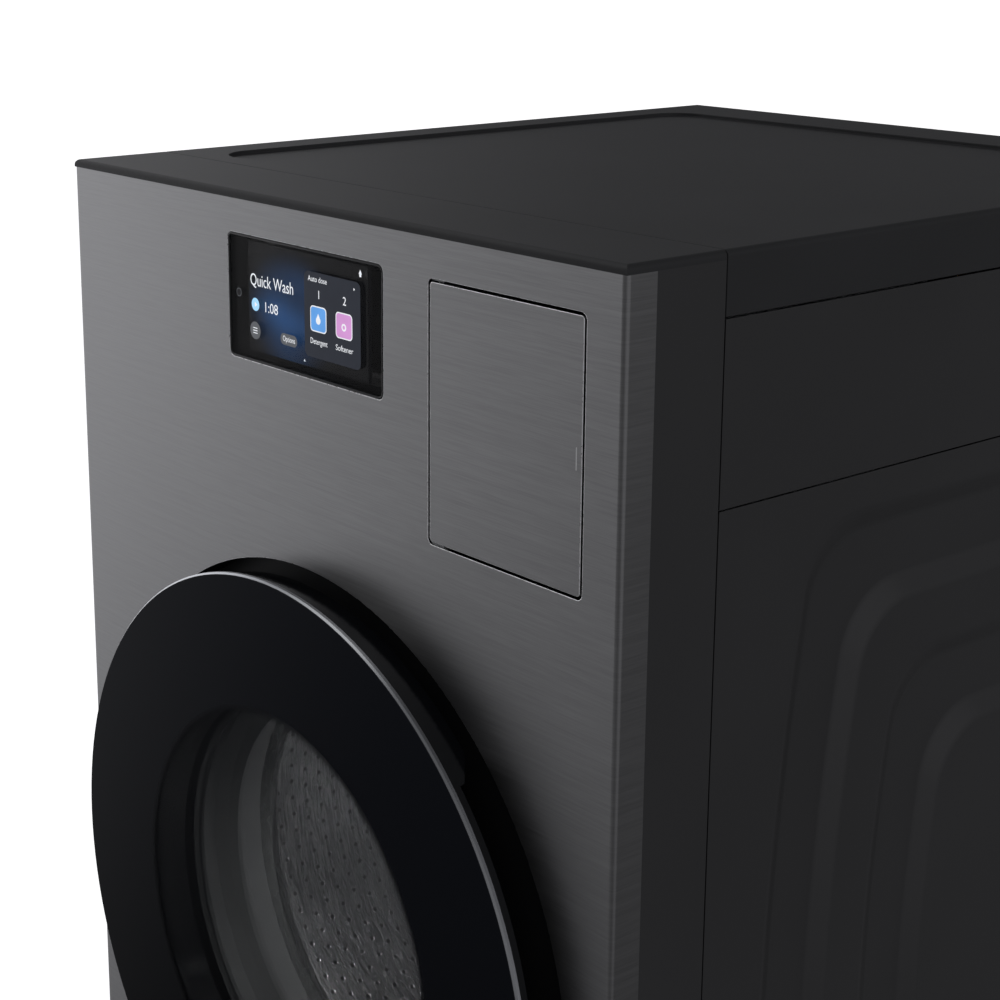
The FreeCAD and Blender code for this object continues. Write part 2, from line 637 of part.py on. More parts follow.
def door_lock():
    back = FRONT + BULKHEAD_BACK
    case = box(HOOK_X - 14, HOOK_X + 34, back, back + 32, DOOR_Z - LOCK_HALF, DOOR_Z + LOCK_HALF)
    return case.cut(box(HOOK_X - 10, HOOK_X + 24, back - 1, back + 24, DOOR_Z - 16, DOOR_Z + 16))


def hinge_bracket():
    """Fixed knuckle on a goose-neck arm, screwed to the floor of the recess."""
    floor = FRONT + BULKHEAD_BACK - 2
    reach = floor - HINGE_Y
    lean = 0.64 * reach
    length = math.hypot(lean, reach)
    nx, ny = 3.5 * reach / length, -3.5 * lean / length
    arm = prism_z([(HINGE_X - nx, HINGE_Y - ny), (HINGE_X + nx, HINGE_Y + ny),
                   (HINGE_X + lean + nx, floor - 1), (HINGE_X + lean - nx, floor - 1)],
                  DOOR_Z - HINGE_HALF, DOOR_Z + HINGE_HALF)
    plate = box(HINGE_X + lean - 12, HINGE_X + lean + 23, floor - 4, floor,
                DOOR_Z - HINGE_HALF, DOOR_Z + HINGE_HALF)
    knuckle = rod_z(PIN_R + 3, DOOR_Z - HINGE_HALF, DOOR_Z + HINGE_HALF, HINGE_X, HINGE_Y)
    bore = rod_z(PIN_R + 0.02, DOOR_Z - HINGE_HALF - 1, DOOR_Z + HINGE_HALF + 1, HINGE_X, HINGE_Y)
    return fused([arm, plate, knuckle]).cut(bore)


def leaf_spans():
    start = HINGE_HALF + 11
    return ((DOOR_Z - start - LEAF_HEIGHT, DOOR_Z - start), (DOOR_Z + start, DOOR_Z + start + LEAF_HEIGHT))


def door_hinge_pin():
    reach = HINGE_HALF + 11 + LEAF_HEIGHT
    return rod_z(PIN_R, DOOR_Z - reach, DOOR_Z + reach, HINGE_X, HINGE_Y)


# ---------------------------------------------------------------- main door
def door_glass():
    face = FRONT - DOOR_PROUD
    return turned([(0, face), (DOOR_R - 1.5, face), (DOOR_R, face + 1.5),
                   (DOOR_R, face + GLASS), (0, face + GLASS)],
                  0, DOOR_Z)


def finger_notch(grow):
    """Space cut out of the rim on the opening side, grown by a wall."""
    lip = FRONT - DOOR_PROUD + NOTCH_LIP
    floor_r = DOOR_R - NOTCH_IN - grow
    ring = turned([(floor_r, lip - grow), (DOOR_R - NOTCH_CHAMFER - 1, lip - grow),
                   (DOOR_R, lip - NOTCH_CHAMFER - grow), (DOOR_R + 20, lip - NOTCH_CHAMFER - grow),
                   (DOOR_R + 20, FRONT + 5), (floor_r, FRONT + 5)], 0, DOOR_Z)
    half = NOTCH_HALF + grow
    front = lip - NOTCH_CHAMFER - grow - 1
    side = [(front, DOOR_Z - half), (lip, DOOR_Z - half), (FRONT + 5, DOOR_Z - half - NOTCH_SLANT),
            (FRONT + 5, DOOR_Z + half + NOTCH_SLANT), (lip, DOOR_Z + half), (front, DOOR_Z + half)]
    return ring.common(prism_x(side, 0, DOOR_R + 30))


def hinge_pocket(grow):
    half = HINGE_HALF + 8 + grow
    return box(-DOOR_R - 12, HINGE_X + 48 + grow, FRONT - DOOR_PROUD + GLASS, FRONT + 10,
               DOOR_Z - half, DOOR_Z + half)


def rim_hollow():
    front = FRONT - DOOR_PROUD + GLASS + RIM_WALL
    return turned([(WINDOW_R + RIM_WALL, front), (DOOR_R - RIM_WALL - 0.6, front),
                   (DOOR_BACK_R - RIM_WALL, FRONT + 1), (WINDOW_R + RIM_WALL, FRONT + 1)], 0, DOOR_Z)


def door_ring():
    """The door's hollow rim before its grip is parted from it."""
    front = FRONT - DOOR_PROUD + GLASS
    back = FRONT - RIM_BACK
    body = turned([(WINDOW_R, front), (DOOR_R, front), (DOOR_BACK_R + 0.4, back - RIM_CHAMFER),
                   (DOOR_BACK_R - RIM_CHAMFER, back), (WINDOW_R, back)], 0, DOOR_Z)
    body = body.cut(finger_notch(0)).cut(hinge_pocket(0))
    body = body.cut(rim_hollow().cut(finger_notch(RIM_WALL)).cut(hinge_pocket(RIM_WALL)))
    for z0, z1 in leaf_spans():
        body = body.cut(rod_z(PIN_R + 2.9, z0 - 4, z1 + 4, HINGE_X, HINGE_Y))
    return body


def grip_zone():
    """Space of the separate moulding round the finger notch."""
    inner = DOOR_R - NOTCH_IN - RIM_WALL
    front, back = FRONT - DOOR_PROUD + GLASS - 1, FRONT + 5
    ring = turned([(inner, front), (DOOR_R + 1, front), (DOOR_R + 1, back), (inner, back)], 0, DOOR_Z)
    half = NOTCH_HALF + NOTCH_SLANT + RIM_WALL
    return ring.common(box(0, DOOR_R + 2, front, back, DOOR_Z - half, DOOR_Z + half))


def door_back_cover():
    """Cover on the back of the door with the trim ring that carries the bowl."""
    back = FRONT - RIM_BACK
    inner = WINDOW_R + RIM_WALL + 0.3
    outer = DOOR_BACK_R - RIM_WALL - 0.8
    cover = turned([(inner, back - 3), (outer, back - 3), (outer, back),
                    (TRIM_R, back), (TRIM_R, FRONT + TRIM_BACK), (WINDOW_R, FRONT + TRIM_BACK),
                    (WINDOW_R, FRONT + TRIM_BACK - 3), (TRIM_R - 3, FRONT + TRIM_BACK - 3),
                    (TRIM_R - 3, back), (inner, back)], 0, DOOR_Z)
    return cover.cut(finger_notch(RIM_WALL + 0.3)).cut(hinge_pocket(RIM_WALL + 0.3))


def door_bowl():
    f = FRONT
    back = f + BOWL_BACK
    return turned([(0, back), (BOWL_REAR_R - 14, back), (BOWL_REAR_R, back - 8), (BOWL_FRONT_R - 5, f + 12),
                   (WINDOW_R - 0.5, f + 12), (WINDOW_R - 0.5, f + 7), (BOWL_FRONT_R - 9, f + 7),
                   (BOWL_REAR_R - 5, back - 11), (BOWL_REAR_R - 16, back - BOWL_WALL), (0, back - BOWL_WALL)],
                  0, DOOR_Z)


def door_hinge_leaves():
    leaves = []
    front = FRONT - DOOR_PROUD + GLASS + RIM_WALL
    for z0, z1 in leaf_spans():
        knuckle = rod_z(PIN_R + 2.5, z0, z1, HINGE_X, HINGE_Y)
        plate = box(HINGE_X, HINGE_X + 44, front, front + 3, z0, z1)
        bore = rod_z(PIN_R + RUNNING, z0 - 1, z1 + 1, HINGE_X, HINGE_Y)
        leaves.append(knuckle.fuse(plate).cut(bore))
    return leaves


def latch_hook():
    back = FRONT - RIM_BACK
    tip = back + 47
    outline = [(HOOK_X - 8, back), (HOOK_X + 10, back), (HOOK_X + 10, back + 3), (HOOK_X + 3, back + 3),
               (HOOK_X + 3, tip - 9), (HOOK_X + 9, tip - 9), (HOOK_X + 3, tip), (HOOK_X - 3, tip),
               (HOOK_X - 3, back + 3), (HOOK_X - 8, back + 3)]
    return prism_z(outline, DOOR_Z - 11, DOOR_Z + 11)


# ---------------------------------------------------------------- tub and drum


def tub_front():
    f = FRONT
    return turned([(TUB_MOUTH_R, f + TUB_FRONT - 12), (TUB_MOUTH_R + TUB_WALL, f + TUB_FRONT - 12),
                   (TUB_MOUTH_R + TUB_WALL, f + TUB_FRONT), (TUB_R, f + TUB_FRONT), (TUB_R, f + TUB_SPLIT),
                   (TUB_R - TUB_WALL, f + TUB_SPLIT), (TUB_R - TUB_WALL, f + TUB_FRONT + TUB_WALL),
                   (TUB_MOUTH_R, f + TUB_FRONT + TUB_WALL)], 0, DOOR_Z)


def tub_rear():
    f, back = FRONT, FRONT + TUB_BACK
    hub = BEARING_R + 14
    shell = turned([(TUB_R - TUB_WALL, f + TUB_SPLIT), (TUB_R, f + TUB_SPLIT), (TUB_R, back), (hub, back),
                    (hub, back + 12), (BEARING_R, back + 12), (BEARING_R, back - 28), (hub, back - 28),
                    (hub, back - TUB_WALL), (TUB_R - TUB_WALL, back - TUB_WALL)], 0, DOOR_Z)
    core = rod_y(TUB_R - 1, f + TUB_SPLIT - 1, back, 0, DOOR_Z)
    lug_z = SHELF_Z - SPRING_LENGTH
    for side in (-1, 1):
        inner, outer = sorted((side * (SPRING_X + 16), side * 180))
        spring_lug = box(inner, outer, TUB_MID - 12, TUB_MID + 12, lug_z - 8, lug_z)
        x = side * DAMPER_X
        damper_lug = box(x - 14, x + 14, TUB_MID - 12, TUB_MID + 12, damper_top(), DOOR_Z - 100)
        shell = shell.fuse(spring_lug.cut(core)).fuse(damper_lug.cut(core))
    return shell


def damper_top():
    return DOOR_Z - math.sqrt(TUB_R ** 2 - DAMPER_X ** 2) - 16


def counterweights():
    """Two half rings bolted round the mouth of the tub."""
    f = FRONT + TUB_FRONT
    ring = turned([(TUB_MOUTH_R + 18, f - COUNTERWEIGHT), (TUB_R - 8, f - COUNTERWEIGHT), (TUB_R - 8, f),
                   (TUB_MOUTH_R + 18, f)], 0, DOOR_Z)
    gap = box(-TUB_R, TUB_R, f - 100, f + 10, DOOR_Z - LOCK_HALF - 14, DOOR_Z + LOCK_HALF + 14)
    return ring.cut(gap).Solids


def shaft_bearings():
    back = FRONT + TUB_BACK
    rings = []
    for y0 in (back - 28, back + 12 - BEARING_WIDTH):
        rings.append(turned([(SHAFT_R + RUNNING, y0), (BEARING_R - 0.02, y0),
                             (BEARING_R - 0.02, y0 + BEARING_WIDTH),
                             (SHAFT_R + RUNNING, y0 + BEARING_WIDTH)], 0, DOOR_Z))
    return rings


def stator():
    y0 = FRONT + TUB_BACK + 12
    core = turned([(BEARING_R + 2, y0), (STATOR_R - 30, y0), (STATOR_R - 30, y0 + 8), (STATOR_R - 12, y0 + 8),
                   (STATOR_R - 12, y0 + 34), (STATOR_R - 40, y0 + 34), (STATOR_R - 40, y0 + 8),
                   (BEARING_R + 2, y0 + 8)], 0, DOOR_Z)
    poles = []
    for index in range(18):
        pole = box(STATOR_R - 14, STATOR_R, y0 + 10, y0 + 32, DOOR_Z - 7, DOOR_Z + 7)
        pole.rotate(V(0, 0, DOOR_Z), V(0, 1, 0), index * 20)
        poles.append(pole)
    return fused([core] + poles)


def rotor():
    y0 = FRONT + TUB_BACK + 18
    back = y0 + 40
    cup = turned([(SHAFT_R + 0.02, back - 4), (ROTOR_R - 4, back - 4), (ROTOR_R - 4, y0), (ROTOR_R, y0),
                  (ROTOR_R, back), (24, back), (24, back + 8), (SHAFT_R + 0.02, back + 8)], 0, DOOR_Z)
    for index in range(6):
        slot = rod_y(14, back - 10, back + 10, 70, DOOR_Z)
        slot.rotate(V(0, 0, DOOR_Z), V(0, 1, 0), 60 * index)
        cup = cup.cut(slot)
    return cup


def drum_shell():
    y0, y1 = FRONT + DRUM_FRONT, FRONT + DRUM_BACK
    inner = DRUM_R - DRUM_WALL
    return turned([(DRUM_MOUTH_R, y0), (DRUM_MOUTH_R + 4, y0 - 4), (DRUM_R - 22, y0), (DRUM_R, y0 + 20),
                   (DRUM_R, y1), (0, y1), (0, y1 - DRUM_WALL), (inner, y1 - DRUM_WALL), (inner, y0 + 21),
                   (DRUM_R - 23, y0 + DRUM_WALL), (DRUM_MOUTH_R + 4, y0 - 4 + DRUM_WALL),
                   (DRUM_MOUTH_R, y0 + DRUM_WALL)], 0, DOOR_Z)


def drum_lifters():
    seat = math.sqrt((DRUM_R - DRUM_WALL) ** 2 - (LIFTER_WIDTH / 2) ** 2) - 0.1
    lifters = []
    for index in range(LIFTER_COUNT):
        half = LIFTER_WIDTH / 2
        top = seat - LIFTER_HEIGHT
        paddle = prism_y([(-half, DOOR_Z - seat), (half, DOOR_Z - seat), (half * 0.45, DOOR_Z - top - 8),
                          (half * 0.2, DOOR_Z - top), (-half * 0.2, DOOR_Z - top), (-half * 0.45, DOOR_Z - top - 8)],
                         FRONT + DRUM_FRONT + LIFTER_END, FRONT + DRUM_BACK - LIFTER_END)
        paddle.rotate(V(0, 0, DOOR_Z), V(0, 1, 0), 360 / LIFTER_COUNT * index)
        lifters.append(paddle)
    return lifters


def drum_spider():
    """Cast three-armed carrier with the shaft."""
    y0 = FRONT + DRUM_BACK
    hub = rod_y(BEARING_R + 6, y0, y0 + 26, 0, DOOR_Z)
    shaft = rod_y(SHAFT_R, y0, FRONT + TUB_BACK + 70, 0, DOOR_Z)
    arms = []
    for index in range(LIFTER_COUNT):
        arm = box(-16, 16, y0, y0 + 18, DOOR_Z - DRUM_R + 8, DOOR_Z)
        arm.rotate(V(0, 0, DOOR_Z), V(0, 1, 0), 360 / LIFTER_COUNT * index)
        arms.append(arm)
    return fused([hub, shaft] + arms)


def suspension_springs():
    springs = []
    z0 = SHELF_Z - SPRING_LENGTH
    for side in (-1, 1):
        pitch = (SPRING_LENGTH - 2 * SPRING_WIRE) / SPRING_TURNS
        path = Part.makeHelix(pitch, pitch * SPRING_TURNS, SPRING_R)
        ring = Part.Wire([Part.makeCircle(SPRING_WIRE, V(SPRING_R, 0, 0), V(0, 1, 0))])
        coil = Part.Wire(path.Edges).makePipeShell([ring], True, True)
        coil.translate(V(side * SPRING_X, TUB_MID, z0 + SPRING_WIRE))
        springs.append(coil)
    return springs


def dampers():
    units = []
    z0 = BASE_Z + FRAME_WALL
    top = damper_top()
    for side in (-1, 1):
        x = side * DAMPER_X
        units.append(fused([rod_z(DAMPER_R, z0, z0 + (top - z0) * 0.62, x, TUB_MID),
                            rod_z(DAMPER_ROD_R, z0 + (top - z0) * 0.5, top, x, TUB_MID)]))
    return units


# ---------------------------------------------------------------- heat pump and water
def heat_pump_shelf():
    z0 = SHELF_Z
    reach = SIDE - SHEET - GROOVE_DROP
    return open_tray(-reach, reach, FRAME_BACK, REAR - SHEET, z0, z0 + 18, FRAME_WALL)


def fan_housing():
    r, wall = FAN_R + 12, 2.5
    outer = rod_x(r, FAN_X, FAN_X + FAN_WIDTH + 12, FAN_Y, FAN_Z)
    duct = box(FAN_X, FAN_X + FAN_WIDTH + 12, FAN_Y, FAN_Y + r + 40, FAN_Z + 10, FAN_Z + r)
    inside = rod_x(r - wall, FAN_X + wall, FAN_X + FAN_WIDTH + 12 - wall, FAN_Y, FAN_Z)
    duct_inside = box(FAN_X + wall, FAN_X + FAN_WIDTH + 12 - wall, FAN_Y, FAN_Y + r + 41,
                      FAN_Z + 10 + wall, FAN_Z + r - wall)
    inlet = rod_x(FAN_R * 0.7, FAN_X + FAN_WIDTH, FAN_X + FAN_WIDTH + 20, FAN_Y, FAN_Z)
    return outer.fuse(duct).cut(inside).cut(duct_inside).cut(inlet)


def fan_wheel():
    x0 = FAN_X + 6
    disc = rod_x(FAN_R, x0, x0 + 2.5, FAN_Y, FAN_Z)
    boss = rod_x(12, x0, x0 + 20, FAN_Y, FAN_Z)
    ring = rod_x(FAN_R, x0 + FAN_WIDTH - 3, x0 + FAN_WIDTH, FAN_Y, FAN_Z)
    ring = ring.cut(rod_x(FAN_R - 14, x0, x0 + FAN_WIDTH + 1, FAN_Y, FAN_Z))
    blades = []
    for index in range(FAN_BLADES):
        blade = box(x0 + 1, x0 + FAN_WIDTH - 1, FAN_Y - 1, FAN_Y + 1, FAN_Z + FAN_R - 15, FAN_Z + FAN_R - 1)
        blade.rotate(V(0, FAN_Y, FAN_Z + FAN_R - 8), V(1, 0, 0), 25)
        blade.rotate(V(0, FAN_Y, FAN_Z), V(1, 0, 0), 360 / FAN_BLADES * index)
        blades.append(blade)
    return fused([disc, boss, ring] + blades)


def heat_exchangers():
    """Evaporator in front and condenser behind: finned coils between two end plates."""
    z0 = SHELF_Z + FRAME_WALL
    x0, x1 = FAN_X + FAN_WIDTH + 30, HATCH_LEFT - 40
    blocks = []
    for y0, depth in ((FRONT + 150, EVAPORATOR_DEPTH), (FRONT + 300, CONDENSER_DEPTH)):
        ends = [box(x, x + 2, y0, y0 + depth, z0, z0 + COIL_HEIGHT) for x in (x0, x1 - 2)]
        fins = []
        x = x0 + 2 + FIN_PITCH
        while x < x1 - FIN_PITCH:
            fins.append(box(x, x + FIN, y0 + 3, y0 + depth - 3, z0 + 4, z0 + COIL_HEIGHT - 4))
            x += FIN_PITCH
        tubes = [rod_x(COIL_TUBE_R, x0, x1, y0 + depth * (0.2 + 0.3 * row),
                       z0 + COIL_HEIGHT * (0.15 + 0.23 * level))
                 for row in range(3) for level in range(4)]
        blocks.append(ends[0].multiFuse(ends[1:] + fins + tubes))
    return blocks


COMPRESSOR_X = HATCH_X - 30
COMPRESSOR_Y = REAR - 210.0


def compressor():
    z0 = SHELF_Z + FRAME_WALL
    body = rod_z(COMPRESSOR_R, z0 + 14, z0 + 14 + COMPRESSOR_HEIGHT, COMPRESSOR_X, COMPRESSOR_Y)
    body = body.makeFillet(16, [e for e in body.Edges if e.Curve.TypeId == "Part::GeomCircle"])
    half = COMPRESSOR_R + 10
    plate = box(COMPRESSOR_X - half, COMPRESSOR_X + half, COMPRESSOR_Y - half, COMPRESSOR_Y + half,
                z0 + 10, z0 + 15)
    pads = [rod_z(11, z0, z0 + 11, COMPRESSOR_X + dx, COMPRESSOR_Y + dy)
            for dx in (12 - half, half - 12) for dy in (12 - half, half - 12)]
    return fused([body, plate] + pads)


def pipe(points, r):
    """Round pipe along straight runs with ball corners."""
    runs = []
    for a, b in zip(points, points[1:]):
        runs.append(Part.makeCylinder(r, (b - a).Length, a, b - a))
    corners = [Part.makeSphere(r, p) for p in points[1:-1]]
    return fused(runs + corners)


def refrigerant_pipes():
    z0 = SHELF_Z + FRAME_WALL
    x1 = HATCH_LEFT - 40
    high, low = z0 + 150, z0 + 60
    top = z0 + 14 + COMPRESSOR_HEIGHT
    hot = pipe([V(COMPRESSOR_X - 24, COMPRESSOR_Y, top), V(COMPRESSOR_X - 24, COMPRESSOR_Y, z0 + 215),
                V(x1 + 22, COMPRESSOR_Y, z0 + 215), V(x1 + 22, FRONT + 375, z0 + 215),
                V(x1 + 22, FRONT + 375, high),
                V(x1, FRONT + 375, high)], 4.0)
    cold = pipe([V(COMPRESSOR_X - COMPRESSOR_R, COMPRESSOR_Y, low), V(x1 + 20, COMPRESSOR_Y, low),
                 V(x1 + 20, FRONT + 210, low), V(x1, FRONT + 210, low)], 5.0)
    return [hot, cold]


def inlet_valves():
    valves = []
    for x in INLET_XS:
        block = box(x - 20, x + 20, REAR - 60, REAR - SHEET, INLET_Z - 24, INLET_Z + 24)
        nipple = rod_y(INLET_R, REAR - SHEET - 1, REAR + INLET_LENGTH, x, INLET_Z)
        bore = rod_y(8.5, REAR - 40, REAR + INLET_LENGTH + 1, x, INLET_Z)
        coil = rod_z(13, INLET_Z + 20, INLET_Z + 46, x, REAR - 40)
        valves.append(fused([block, nipple, coil]).cut(bore))
    return valves


def drain_spigot():
    flange = rod_y(SPIGOT_R + 10, REAR, REAR + 4, SPIGOT_X, SPIGOT_Z)
    tube = rod_y(SPIGOT_R, REAR - 60, REAR + REAR_PROUD, SPIGOT_X, SPIGOT_Z)
    return flange.fuse(tube).cut(rod_y(SPIGOT_R - 3, REAR - 61, REAR + REAR_PROUD + 1, SPIGOT_X, SPIGOT_Z))


def cord_inlet():
    flange = rod_y(24, REAR, REAR + 4, CORD_X, CORD_Z)
    boss = rod_y(16.5, REAR - 14, REAR + 14, CORD_X, CORD_Z)
    return flange.fuse(boss).cut(rod_y(6, REAR - 15, REAR + 15, CORD_X, CORD_Z))


def drain_pump():
    body = rod_y(32, FRONT + 24, FRONT + 160, PUMP_X, PUMP_Z)
    motor = rod_y(26, FRONT + 159, FRONT + 215, PUMP_X, PUMP_Z)
    outlet = rod_z(11, PUMP_Z, PUMP_Z + 70, PUMP_X + 14, FRONT + 130)
    return fused([body, motor, outlet]).cut(rod_y(PLUG_R + RUNNING, FRONT + 23, FRONT + 100, PUMP_X, PUMP_Z))


def pump_filter_cap():
    disc = rod_y(29, FRONT + 17, FRONT + 23.5, PUMP_X, PUMP_Z)
    grip = box(PUMP_X - 24, PUMP_X + 24, FRONT + 9, FRONT + 18, PUMP_Z - 4, PUMP_Z + 4)
    plug = rod_y(PLUG_R, FRONT + 23, FRONT + 70, PUMP_X, PUMP_Z)
    basket = plug.cut(rod_y(PLUG_R - 3, FRONT + 40, FRONT + 71, PUMP_X, PUMP_Z))
    return fused([disc, grip, basket])


# ---------------------------------------------------------------- write every piece
def main():
    os.makedirs("parts", exist_ok=True)
    pan = base_pan().cut(rod_y(34, FRAME_BACK - 1, FRAME_BACK + 10, PUMP_X, PUMP_Z))
    save("base_pan", pan)
    save("front_frame", front_frame())
    save("front_panel", front_panel())
    save("kick_panel", kick_panel())
    save("front_top_cap", front_top_cap())
    save("top_plate", top_plate())
    right_lower = lower_side_panel()
    save("lower_side_panel_right", right_lower)
    save("lower_side_panel_left", mirrored(right_lower))
    right_upper = upper_side_panel()
    save("upper_side_panels", right_upper, mirrored(right_upper))
    save("rear_panel", rear_panel())
    save("rear_cover", rear_cover())
    save("rear_screws", *rear_screws())
    save("display_bezel", display_bezel())
    save("display_glass", display_glass())
    save("lcd_panel", lcd_panel())
    save("control_board", control_board())
    save("dispenser_door_skin", dispenser_door_skin())
    save("dispenser_door_liner", dispenser_door_liner())
    save("dispenser_housing", dispenser_housing())
    save("detergent_drawer", detergent_drawer())
    save("lint_filter", lint_filter())
    save("door_recess_wall", recess_wall())
    save("door_bulkhead", bulkhead())
    save("door_gasket", gasket())
    save("door_lock", door_lock())
    save("hinge_bracket", hinge_bracket())
    save("hinge_pins", door_hinge_pin(), dispenser_hinge_pin())
    save("door_glass", door_glass())
    ring, zone = door_ring(), grip_zone()
    save("door_rim", ring.cut(zone))
    save("door_grip", ring.common(zone))
    save("door_back_cover", door_back_cover())
    save("door_bowl", door_bowl())
    save("door_hinge_leaves", *door_hinge_leaves())
    save("latch_hook", latch_hook())
    save("tub_front", tub_front())
    save("tub_rear", tub_rear())
    save("counterweights", *counterweights())
    save("shaft_bearings", *shaft_bearings())
    save("stator", stator())
    save("rotor", rotor())
    save("drum_shell", drum_shell())
    save("drum_lifters", *drum_lifters())
    save("drum_spider", drum_spider())
    save("suspension_springs", *suspension_springs())
    save("dampers", *dampers())
    save("heat_pump_shelf", heat_pump_shelf())
    save("fan_housing", fan_housing())
    save("fan_wheel", fan_wheel())
    save("heat_exchangers", *heat_exchangers())
    save("compressor", compressor())
    save("refrigerant_pipes", *refrigerant_pipes())
    save("inlet_valves", *inlet_valves())
    save("rear_fittings", drain_spigot(), cord_inlet())
    save("drain_pump", drain_pump())
    save("pump_filter_cap", pump_filter_cap())
    save("service_flap", service_flap())
    names = ("foot_front_left", "foot_front_right", "foot_rear_left", "foot_rear_right")
    for name, (x, y) in zip(names, foot_places()):
        save(name, foot(x, y))


main()
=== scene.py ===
"""Looks for a tall all-in-one washer and heat-pump dryer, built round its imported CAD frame."""

import json
import math

import bmesh
import bpy
from mathutils import Matrix, Vector

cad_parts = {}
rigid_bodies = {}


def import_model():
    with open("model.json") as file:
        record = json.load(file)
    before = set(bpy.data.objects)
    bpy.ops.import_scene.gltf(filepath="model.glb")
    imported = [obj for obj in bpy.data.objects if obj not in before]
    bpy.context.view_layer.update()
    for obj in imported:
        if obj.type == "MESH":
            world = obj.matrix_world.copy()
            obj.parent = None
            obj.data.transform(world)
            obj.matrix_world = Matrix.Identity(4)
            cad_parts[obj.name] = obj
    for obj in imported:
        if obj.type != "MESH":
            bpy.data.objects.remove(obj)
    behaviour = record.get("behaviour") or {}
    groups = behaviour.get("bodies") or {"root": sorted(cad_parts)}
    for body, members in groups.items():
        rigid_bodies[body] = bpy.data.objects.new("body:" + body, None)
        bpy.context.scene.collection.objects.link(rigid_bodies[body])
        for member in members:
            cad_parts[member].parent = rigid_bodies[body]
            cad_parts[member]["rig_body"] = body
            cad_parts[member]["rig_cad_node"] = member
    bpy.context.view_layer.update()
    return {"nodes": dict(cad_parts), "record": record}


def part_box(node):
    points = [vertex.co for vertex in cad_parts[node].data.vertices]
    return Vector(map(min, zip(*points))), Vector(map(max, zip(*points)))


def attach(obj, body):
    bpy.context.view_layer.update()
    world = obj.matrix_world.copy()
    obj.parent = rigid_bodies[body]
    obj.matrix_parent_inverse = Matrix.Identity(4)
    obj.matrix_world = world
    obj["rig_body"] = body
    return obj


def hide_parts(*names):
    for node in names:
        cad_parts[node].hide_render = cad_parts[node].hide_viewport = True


bl_info = {
    "name": "Washer-dryer looks",
    "version": (1, 0, 0),
    "blender": (4, 5, 0),
    "location": "View3D > Sidebar > Washer-dryer",
    "description": "Finishes and details the washer-dryer built round its CAD frame",
    "category": "Object",
}

MM = 0.001

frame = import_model()
NODES = frame["nodes"]


def low(node):
    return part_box(node)[0]


def high(node):
    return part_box(node)[1]


# Places read from the frame
PANEL_LOW, PANEL_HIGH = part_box("front_panel")
FRONT = PANEL_LOW.y
SIDE = PANEL_HIGH.x
DOOR_LOW, DOOR_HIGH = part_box("door_glass")
DOOR_Z = (DOOR_LOW.z + DOOR_HIGH.z) / 2
DOOR_R = DOOR_HIGH.x

# Sizes in metres
FOLD = 0.004  # radius of the rounded bend down the front panel's sides
FOLD_END = 0.0002  # short of the side, where the painted shade on the rounded bend is full
TRIM_END = 0.006  # the painted highlight on the edges stops this far short of the sides
PRESS_MARGIN = 0.02  # flat border of a side panel, round its pressings
HOLE_EDGE = 0.0004  # soft border of a drum hole
HOLE_LIP = 0.0016  # width of the dent round a drum hole
WALL_DEPTH = 0.004  # how far inside its radius the drum's wall begins
WALL_EDGE = 0.001


# ------------------------------------------------------------------ shader kit
class Value:
    """A node socket that takes part in Python sums: each sum adds its Math node."""

    def __init__(self, graph, socket):
        self.graph = graph
        self.socket = socket

    def _math(self, operation, *operands):
        return self.graph.node("ShaderNodeMath", {"operation": operation}, *operands)

    def __add__(self, other):
        return self._math("ADD", self, other)

    def __radd__(self, other):
        return self._math("ADD", other, self)

    def __sub__(self, other):
        return self._math("SUBTRACT", self, other)

    def __rsub__(self, other):
        return self._math("SUBTRACT", other, self)

    def __mul__(self, other):
        return self._math("MULTIPLY", self, other)

    def __rmul__(self, other):
        return self._math("MULTIPLY", other, self)

    def __truediv__(self, other):
        return self._math("DIVIDE", self, other)

    def root(self):
        return self._math("SQRT", self)

    def size(self):
        return self._math("ABSOLUTE", self)

    def sine(self):
        return self._math("SINE", self)

    def cut(self):
        """The part after the whole number, from 0 to 1."""
        return self._math("FRACT", self)

    def rise(self, start, end, low=0.0, high=1.0):
        """Goes smoothly from low at start to high at end."""
        settings = {"interpolation_type": "SMOOTHSTEP"}
        return self.graph.node("ShaderNodeMapRange", settings, self, start, end, low, high)


